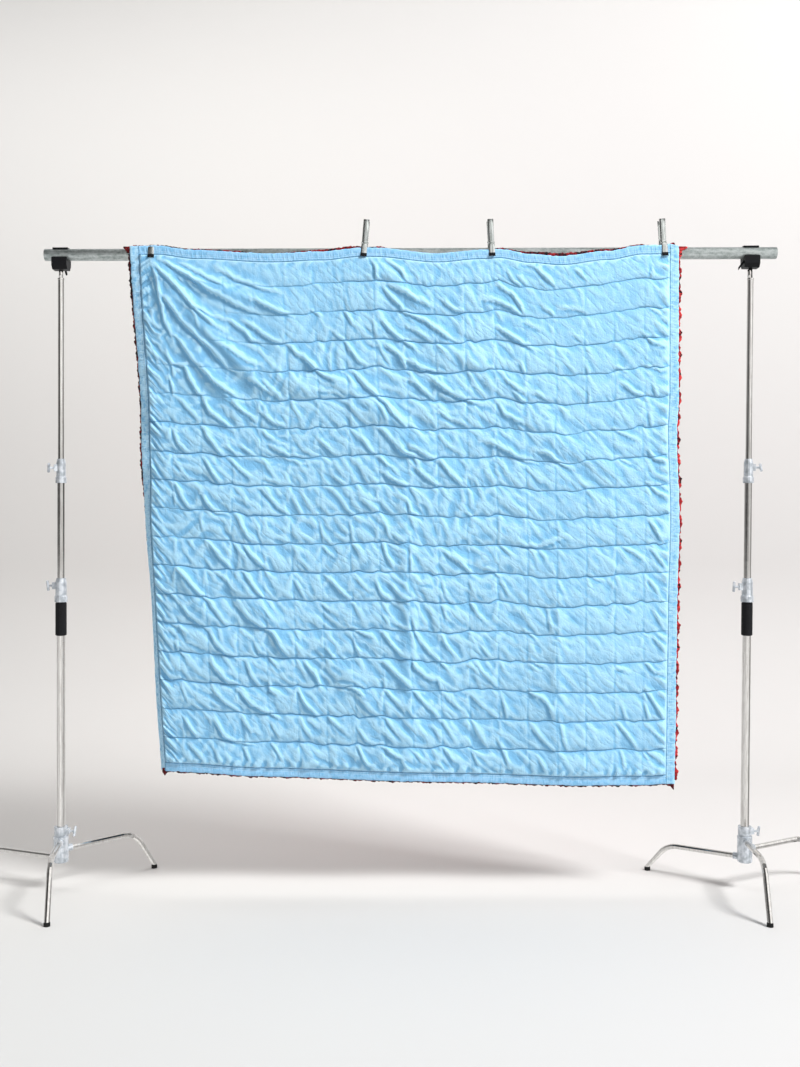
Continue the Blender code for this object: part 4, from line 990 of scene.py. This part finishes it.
def buildBacking(material):
    down, across, x, z, uv = panelGrid(panel["backRows"], panel["backColumns"], 0.3)
    _, t = cellShare(stitchShares(), down)
    rim = np.minimum(toEdge(across) / 0.012, 1.0) ** 0.5
    proud = hang["seamThick"] / 2 + panel["backCrown"] * pillow(t) * rim
    proud += panel["backUneven"] * softNoise(x / 0.06, z / 0.04, 91) * smooth(0.0, 0.02, toEdge(down)) * rim
    for rim in rims:
        proud[rim] = 0.0
    points = np.stack([x, hang["clothY"] - foldRise(x, z) + proud, z], axis=-1)
    backing = sheetFrom("quiltBacking", points, uv, material)
    backing.data.flip_normals()
    return backing


border = {
    "ribPitch": 0.0075,
    "ribHeight": 0.0006,
    "rowsAcross": 9,
    "edgeSway": 0.0012,
    "roll": 0.0009,  # the band is a little fuller between its stitch rows
}


def buildBorder(side, material):
    half = hang["borderThick"] / 2
    length = sideLength(side)
    steps = int(length / border["ribPitch"] * 4)
    place = np.linspace(0.0, 1.0, steps + 1)
    shares = np.linspace(0.0, 1.0, border["rowsAcross"])  # 0 at the outer edge, 1 at the seam
    if side in ("left", "right"):
        edge, _, backward = edgeFrame(side, place)
        inner = clothPoint(uprightSeam(side, place), place, 0.0)
    else:
        level = hang["borderWidth"] / clothHeight()
        outerV, innerV = (0.0, level) if side == "top" else (1.0, 1 - level)
        outer, nearer = np.full_like(place, outerV), np.full_like(place, innerV)
        edge = clothPoint(insideBorders(place, outer), outer, 0.0)
        inner = clothPoint(insideBorders(place, nearer), nearer, 0.0)
        backward = np.array((0, 1, 0), float) * np.ones((len(place), 1))
    seed = 100 + sides[side]
    run = place * length
    acrossWay = inner - edge
    acrossWay /= np.linalg.norm(acrossWay, axis=1)[:, None]
    stray = border["edgeSway"] * softNoise(run / 0.013, run * 0, seed)
    stray = stray * smooth(0, 0.01, place) * smooth(0, 0.01, 1 - place)
    front, back = [], []
    for share in shares:
        middle = mix(edge, inner, share) + acrossWay * (stray * (1 - share) ** 2)[:, None]
        rib = border["ribHeight"] * softNoise(run / border["ribPitch"] * 2, share * 2.5 + run * 0, seed + 10)
        full = border["roll"] * math.sin(math.pi * min(share / 0.62, 1.0)) ** 0.7
        thick = half + full + rib * (0.35 + math.sin(math.pi * share))
        front.append(middle - backward * thick[:, None])
        back.append(middle + backward * half)
    uv = gridOf(run[None, :], (shares * hang["borderWidth"])[:, None])
    name = "border" + side.capitalize()
    return slabFrom(name, np.array(front), np.array(back), uv, material)


ruffle = {
    "thick": 0.0009,
    "turnIn": 0.012,
    "behind": 0.0007,
    "uprightsBehind": 0.0040,  # the upright strips pass behind the level ones at the corners
    "pleat": 0.014,
    "pleatDepth": 0.0030,
    "stepsInPleat": 6,
    "rowsAcross": 5,
}
# shortest and longest reach past the edge, scallop length
ruffleReach = {
    "left": (0.0085, 0.0145, 0.062),
    "right": (0.0040, 0.0165, 0.083),
    "bottom": (0.0020, 0.0075, 0.071),
}
# small flaps at the corners: place along the strip, reach, half width, in metres
ruffleFlaps = {
    "left": ((0.004, 0.014, 0.012),),
    "right": ((0.004, 0.026, 0.010),),
    "bottom": ((0.018, 0.012, 0.006), (2.096, 0.022, 0.012)),
    "top": (),
}
topRuffleReach = (
    (0.000, 0.006), (0.030, 0.002), (0.070, 0.005), (0.190, 0.005), (0.240, -0.002), (0.290, 0.004),
    (0.380, 0.011), (0.415, 0.009), (0.430, 0.003), (0.460, 0.007), (0.480, -0.003), (0.650, -0.003),
    (0.680, 0.006), (0.780, 0.013), (0.930, 0.006), (0.960, -0.003), (1.000, 0.004),
)


def buildRuffle(side, material):
    length = sideLength(side)
    steps = int(length / ruffle["pleat"] * ruffle["stepsInPleat"])
    start, end = {"bottom": (0.004, 0.999), "top": (0.006, 0.994)}.get(side, (0.0, 0.994))
    place = np.linspace(start, end, steps + 1)
    run = place * length
    seed = 110 + sides[side]
    if side == "top":
        reach = readOff(topRuffleReach, place)
    else:
        shortest, longest, scallop = ruffleReach[side]
        phase = 2 * np.pi * run / scallop
        uneven = 0.5 + 0.32 * np.sin(phase) + 0.18 * np.sin(2.7 * phase + 1.3)
        reach = mix(shortest, longest, np.clip(uneven, 0.0, 1.0))
    reach = reach + 0.0016 * softNoise(run / 0.006, run * 0, seed)
    for middle, far, half in ruffleFlaps[side]:
        reach = reach + far * np.exp(-(((run - middle) / half) ** 2))
    edge, outward, backward = edgeFrame(side, place)
    behind = ruffle["behind"] + (ruffle["uprightsBehind"] if side in ("left", "right") else 0.0)
    wave = 0.5 + 0.5 * np.sin(2 * np.pi * run / ruffle["pleat"] + 2.0 * softNoise(run / 0.05, run * 0, seed + 5))
    front, back = [], []
    for share in np.linspace(0.0, 1.0, ruffle["rowsAcross"]):
        out = mix(-ruffle["turnIn"], reach, share)
        depth = hang["borderThick"] / 2 + behind + ruffle["pleatDepth"] * wave * (0.25 + 0.75 * share)
        middle = edge + outward * out[:, None] + backward * depth[:, None]
        front.append(middle)
        back.append(middle + backward * ruffle["thick"])
    wide = np.linspace(0.0, 0.03, ruffle["rowsAcross"])
    uv = gridOf(run[None, :], wide[:, None])
    return slabFrom("ruffle" + side.capitalize(), np.array(front), np.array(back), uv, material)


blue = quiltMaterial()
plainBlue = borderMaterial("blueBorderCotton", cloth["border"], 0.55)
paleBlue = borderMaterial("paleBorderCotton", cloth["light"], 0.16)
# painted light: the left border, turned away from the key light, gets a lighter copy of the border colour and a
# stronger painted seam shadow
sunlitBlue = borderMaterial("leftBorderLitCotton", cloth["sunlit"], 0.80)
red = ruffleMaterial("redRuffleCotton", cloth["red"], cloth["darkRed"], 0.57)
# painted shade: every ruffle but the right one gets a darker copy of the ruffle cotton, with more black
ruffleInShade = ruffleMaterial("shadedRuffleCotton", cloth["darkRed"], cloth["ruffleInShade"], 0.52)
backingRed = backingMaterial()
face = buildFace("quiltFace", blue)
print("quilt face:", len(face.data.polygons), "triangles")
backing = buildBacking(backingRed)
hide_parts("quilt_panel")
borders = {side: buildBorder(side, {"right": paleBlue, "left": sunlitBlue}.get(side, plainBlue)) for side in sides}
ruffles = {side: buildRuffle(side, red if side == "right" else ruffleInShade) for side in sides}
for side, piece in borders.items():
    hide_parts("border_" + side)
for side, piece in ruffles.items():
    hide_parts("ruffle_" + side)
for piece in (face, backing, *borders.values(), *ruffles.values()):
    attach(piece, "root")
backing.visible_glossy = False  # no red glints on the chrome, as in the photograph
print("borders and ruffles made")

finishes = {
    "rail_pipe": galvanisedMaterial(),
    "clamp_": platedMaterial("springSteel", (0.50, 0.53, 0.51, 1), (0.80, 0.83, 0.81, 1), 0.25, 0.0001),
    "_foot_": blackMaterial("blackRubber", (0.012, 0.012, 0.012, 1), 0.75, 500.0, 0.0003),
    "_head_": blackMaterial("blackMetal", (0.007, 0.007, 0.008, 1), 0.42, 700.0, 0.0003, 0.1),
    "_sleeve": blackMaterial("blackGrip", (0.008, 0.008, 0.009, 1), 0.60, 300.0, 0.0004),
    "_collar": castMaterial(),
}
finishes["_handle"] = finishes["_hub"] = finishes["_collar"]
chrome = platedMaterial("chromeTube", (0.72, 0.69, 0.66, 1), (0.86, 0.84, 0.81, 1), 0.12, 0.00005)
for name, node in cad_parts.items():
    made = next((finish for key, finish in finishes.items() if key in name), chrome)
    node.data.materials.clear()
    node.data.materials.append(made)
print("metal finishes set")


clamp = {
    "half": 0.0125,
    "sheet": 0.0016,
    "squareness": 2.9,  # 2 is a half round section, more is squarer
    "middleY": -0.005,
    "tip": 0.012,  # length of the dark jaw tip
    "tipThick": 0.0007,
    "wire": 0.0012,
    "turns": 6,
    "coilRadius": 0.0082,
    "coilHalf": 0.0108,
    "railWide": 0.0483,
}
# one half of an upright clamp: distance from its middle plane, height over the rail's axis, flange depth
clampHalf = (
    (0.0150, 0.1370, 0.0070), (0.0098, 0.0580, 0.0075), (0.0098, 0.0410, 0.0060), (0.0295, 0.0320, 0.0032),
    (0.0295, -0.0040, 0.0030), (0.0350, -0.0190, 0.0030),
)
# the halves of the first clamp, whose handles are swung back: y, height over the rail's axis, flange depth
swungFront = (
    (0.1310, 0.0560, 0.0070), (0.0560, 0.0321, 0.0075), (0.0420, 0.0296, 0.0060), (0.0100, 0.0380, 0.0035),
    (-0.0345, 0.0320, 0.0032), (-0.0345, -0.0060, 0.0030), (-0.0400, -0.0210, 0.0030),
)
swungBack = (
    (0.1370, 0.0250, 0.0070), (0.0600, 0.0122, 0.0075), (0.0440, 0.0102, 0.0060), (0.0330, -0.0080, 0.0032),
    (0.0215, -0.0250, 0.0030), (0.0130, -0.0370, 0.0030),
)
# place along the rail, sideways lean in degrees
clampPlaces = {1: (-1.015, 0.0), 2: (-0.1475, 4.6), 3: (0.3750, -2.6), 4: (1.0795, -3.4)}


def railAxis(x):
    rise = (railHigh.z - railLow.z - clamp["railWide"]) / (railHigh.x - railLow.x)
    return railMiddle.z + rise * (x - hang["railMiddleX"])


def roundedPath(rows):
    # corners cut twice, so that the strip bends softly
    path = np.array(rows, float)
    for cut in range(2):
        near, far = mix(path[:-1], path[1:], 0.25), mix(path[:-1], path[1:], 0.75)
        inner = np.stack([near, far], axis=1).reshape(-1, path.shape[1])
        path = np.concatenate([path[:1], inner[1:-1], path[-1:]])
    return path


def placedOnRail(points, number):
    # from a clamp's own frame to its place on the rail
    x, lean = clampPlaces[number]
    turn = math.radians(lean)
    spots = np.asarray(points, float)
    across, up = turnBy(spots[..., 0], spots[..., 2], turn)
    return np.stack([x + across, spots[..., 1], railAxis(x) + up], axis=-1)


def channelStrip(name, path, outward, number, material, grown=0.0):
    # a strip with a rounded back, its flanges' tips on the path
    way = np.gradient(path[:, :2], axis=0)
    way /= np.linalg.norm(way, axis=1)[:, None]
    normal = np.stack([way[:, 1], -way[:, 0]], axis=1) * outward
    turn = np.linspace(-math.pi / 2, math.pi / 2, 15) * outward
    power = 2 / clamp["squareness"]
    across = np.sign(np.sin(turn)) * np.abs(np.sin(turn)) ** power
    rise = np.abs(np.cos(turn)) ** power
    layers = []
    for taken in (-grown, clamp["sheet"]):
        depth = (path[:, 2] - taken)[:, None] * rise
        spots = path[:, None, :2] + normal[:, None, :] * depth[..., None]
        wide = np.broadcast_to((clamp["half"] - taken) * across, depth.shape)
        layers.append(placedOnRail(np.stack([wide, spots[..., 0], spots[..., 1]], axis=-1), number))
    run = np.concatenate([[0.0], np.cumsum(np.linalg.norm(np.diff(path[:, :2], axis=0), axis=1))])
    uv = gridOf(0.02 * across[None, :], run[:, None])
    return slabFrom(name, layers[0], layers[1], uv, material)


def springCoil(name, y, z, number, material):
    # turns of wire round a pin
    turn = np.linspace(0.0, 2 * math.pi * clamp["turns"], 18 * clamp["turns"] + 1)
    x = np.linspace(-clamp["coilHalf"], clamp["coilHalf"], len(turn))
    round8 = np.linspace(0.0, 2 * math.pi, 9)
    spread = clamp["coilRadius"] + clamp["wire"] * np.cos(round8)
    coil = gridOf(
        x[:, None] + clamp["wire"] * np.sin(round8),
        y + spread * np.cos(turn)[:, None], z + spread * np.sin(turn)[:, None],
    )
    spots = placedOnRail(coil, number)
    uv = gridOf(0.002 * round8[None, :], 0.01 * turn[:, None])
    points = spots.reshape(-1, 3) + toRow
    made = makeMesh(name, points, gridFaces(*spots.shape[:2]), uv.reshape(-1, 2), material)
    pin = turnedPiece(name + "Pin", ((0.0030, -0.0155), (0.0030, 0.0155)), material, 0.0006)
    spot = placedOnRail((0.0, y, z), number) + toRow
    pin.data.transform(Matrix.Rotation(math.pi / 2 + math.radians(clampPlaces[number][1]), 4, "Y"))
    pin.data.transform(Matrix.Translation(spot))
    return made, pin


def turnedPiece(name, profile, material, bevel):
    # a round piece about Z from rows of radius and height, its ends closed and its edges eased
    rows = [(0.0, profile[0][1]), (profile[0][0] - bevel, profile[0][1]), (profile[0][0], profile[0][1] + bevel)]
    rows += [*profile[1:-1], (profile[-1][0], profile[-1][1] - bevel)]
    rows += [(profile[-1][0] - bevel, profile[-1][1]), (0.0, profile[-1][1])]
    radius, height = np.array(rows).T
    turn = np.linspace(0.0, 2 * math.pi, 33)
    points = gridOf(radius[:, None] * np.cos(turn), radius[:, None] * np.sin(turn), height[:, None])
    uv = gridOf(0.01 * turn[None, :], height[:, None])
    faces = gridFaces(len(rows), len(turn), turn=True)
    return makeMesh(name, points.reshape(-1, 3), faces, uv.reshape(-1, 2), material)


def buildClamps(steel, black):
    made = 0
    for number in clampPlaces:
        if number == 1:
            halves = {"front": (roundedPath(swungFront), 1), "back": (roundedPath(swungBack), -1)}
            spring = (0.0455, 0.0203)
        else:
            half = roundedPath(clampHalf)
            front, back = half.copy(), half.copy()
            front[:, 0], back[:, 0] = clamp["middleY"] - half[:, 0], clamp["middleY"] + half[:, 0]
            halves = {"front": (front, 1), "back": (back, -1)}
            spring = (clamp["middleY"], 0.046)
        for side, (path, outward) in halves.items():
            name = f"clamp{number}{side.capitalize()}"
            strip = channelStrip(name + "Half", path, outward, number, steel)
            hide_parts(f"clamp_{number}_{side}_half")
            fromEnd = np.cumsum(np.linalg.norm(np.diff(path[::-1, :2], axis=0), axis=1))
            last = len(path) - 1 - np.searchsorted(fromEnd, clamp["tip"])
            tip = channelStrip(name + "Tip", path[last - 1:], outward, number, black, clamp["tipThick"])
            for piece, slot in ((strip, "spring_steel"), (tip, "black_rubber")):
                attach(piece, "root")
            made += 2
        coil, pin = springCoil(f"clamp{number}Coil", *spring, number, steel)
        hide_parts(f"clamp_{number}_spring")
        for piece in (coil, pin):
            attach(piece, "root")
        made += 2
    print("clamps made:", made, "pieces")


def buildHeadPins(material):
    # the bare pin of each stand between its riser and its black head
    for side in ("left", "right"):
        low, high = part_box(side + "_top_riser")
        tall = max(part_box("rail_pipe")[0].z - 0.036 - high.z, 0.01)
        pin = turnedPiece(side + "HeadPin", ((0.0088, 0.0004), (0.0088, tall)), material, 0.0006)
        lean = (high.x + low.x) / 2
        pin.data.transform(Matrix.Translation((lean, railMiddle.y, high.z)))
        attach(pin, "root")


buildClamps(finishes["clamp_"], finishes["_head_"])
buildHeadPins(chrome)


studio = {
    "cameraBack": 4.505,
    "cameraHeight": 1.513,
    "focal": 1097.2,  # in pixels of an 800 pixel wide frame
    "horizon": 520.3,
    "frameSize": (800, 1067),
    "backdropY": 3.2,
    "air": 0.30,
    "mirror": 1.25,
    # the paper's colour on the left and on the right: painted shade darkens it towards the right, where the key
    # light falls brighter
    "paper": ((0.622, 0.612, 0.597, 1), (0.575, 0.563, 0.555, 1)),
    # what bare metal mirrors round the room: degrees to the right of the camera, brightness
    "walls": (
        (-180, 0.55), (-124, 0.55), (-96, 0.20), (-40, 0.05), (-14, 0.08), (0, 0.70), (30, 1.00), (78, 0.95),
        (90, 0.10), (102, 0.12), (114, 0.65), (180, 0.55),
    ),
    "ground": (
        (-180, 0.60), (-138, 0.62), (-104, 0.55), (-84, 0.46), (-40, 0.62), (0, 0.76), (30, 0.95), (52, 0.55),
        (84, 0.20), (104, 0.55), (130, 0.62), (180, 0.60),
    ),
}


# place, target, width and height, watts, spread in degrees
lights = {
    "keyLight": ((6.2, -3.7, 8.3), (0.0, 0.0, 1.4), (2.7, 2.7), 1390.0, 180),
    "fillLight": ((-3.6, -4.4, 2.4), (0.0, 0.0, 1.4), (3.0, 3.0), 26.0, 180),
    "wallLight": ((-1.5, 0.8, 4.9), (-1.2, 2.5, 0.3), (6.0, 1.4), 78.0, 180),
    "shadeLight": ((-0.7, 1.0, 4.2), (-0.7, 1.0, 0.0), (2.6, 1.2), 4.0, 60),
}


def paperMaterial():
    shade = Shade("studioPaper")
    x = shade.node("SeparateXYZ", {}, {0: shade.place()})
    # painted shade: darker towards the right, against the key light's brighter fall there
    tone = shade.ramp(x + shade.noise(shade.place(), 0.6, 2.0), -1.2, 2.4)
    color = shade.blend(tone, *studio["paper"])
    material = shade.paint(color=color, rough=0.9, gloss=0.1)
    # from behind, the paper is clear, so that the back of the quilt can be seen
    front = Value(shade, shade.shader.outputs[0])
    clear = shade.node("BsdfTransparent", {}, {})
    behind = shade.node("NewGeometry", {}, {}, 6)
    shown = shade.node("MixShader", {}, {0: behind, 1: front, 2: clear})
    shade.feed(shade.tree.nodes["Material Output"].inputs["Surface"], shown)
    return material


def buildBackdrop(material):
    # a floor that bends up into a wall
    bend, high, wide = 1.2, 6.0, 9.0
    profile = [(-7.0, 0.0)]
    for step in range(13):
        turn = math.pi / 2 * step / 12
        profile.append((studio["backdropY"] - bend + bend * math.sin(turn), bend - bend * math.cos(turn)))
    profile.append((studio["backdropY"], high))
    rows = np.array([[(x, y, z) for y, z in profile] for x in (-wide, wide)], float)
    count = len(profile)
    uv = rows.reshape(-1, 3)[:, :2]
    made = makeMesh("studioFloor", rows.reshape(-1, 3), gridFaces(2, count), uv, material)
    made.visible_glossy = False  # bare metal mirrors the room's own tones instead


def areaLight(name, place, target, size, power, spread):
    light = bpy.data.lights.new(name, "AREA")
    light.shape = "RECTANGLE"
    light.size, light.size_y = size
    light.energy = power
    light.spread = math.radians(spread)
    made = bpy.data.objects.new(name, light)
    made.location = place
    made.rotation_euler = (Vector(target) - Vector(place)).to_track_quat("-Z", "Y").to_euler()
    made.visible_glossy = False  # bare metal mirrors the room's own tones
    bpy.context.scene.collection.objects.link(made)


buildBackdrop(paperMaterial())


def lightRoom():
    # even pale air, in which bare metal mirrors the dark and the bright sides of the room
    air = Shade("studioAir", room=bpy.data.worlds.new("studioAir"))
    x = air.node("SeparateXYZ", {}, {0: air.node("TexCoord", {}, {}, 0)})
    y, up = (Value(air, x.socket.node.outputs[k]) for k in (1, 2))
    turn = air.node("Math", {"operation": "ARCTAN2"}, {0: x, 1: y * -1.0}) * (0.5 / math.pi) + 0.5
    tones = []
    for part in ("ground", "walls"):
        stops = [(0.5 + degrees / 360, (grey, grey, grey, 1)) for degrees, grey in studio[part]]
        tones.append(air.node("ValToRGB", {"stops": stops}, {"Fac": turn}))
    level = air.blend(1.0, tones[1], (0.6, 0.6, 0.6, 1), "MULTIPLY")
    mirrored = air.blend(air.ramp(up, -0.09, -0.02), tones[0], air.blend(air.ramp(up, 0.03, 0.13), level, tones[1]))
    glossy = air.node("LightPath", {}, {}, 3)
    even = studio["air"] / studio["mirror"]
    air.feed(air.shader.inputs["Color"], air.blend(glossy, (even, even, even, 1), mirrored))
    air.feed(air.shader.inputs["Strength"], studio["mirror"])
    bpy.context.scene.world = air.material


for name, values in lights.items():
    areaLight(name, *values)
lightRoom()
bpy.context.scene.view_settings.view_transform = "Standard"

camera = bpy.data.cameras.new("photoCamera")
camera.sensor_fit = "HORIZONTAL"
camera.sensor_width = 36.0
frameWide, frameTall = studio["frameSize"]
camera.lens = camera.sensor_width * studio["focal"] / frameWide
camera.shift_y = -(frameTall / 2 - studio["horizon"]) / frameWide
cameraObject = bpy.data.objects.new("photoCamera", camera)
cameraObject.location = (float(toRow[0]), float(toRow[1]) - studio["cameraBack"], studio["cameraHeight"])
cameraObject.rotation_euler = (math.pi / 2, 0, 0)
bpy.context.scene.collection.objects.link(cameraObject)
bpy.context.scene.camera = cameraObject
print("studio set")
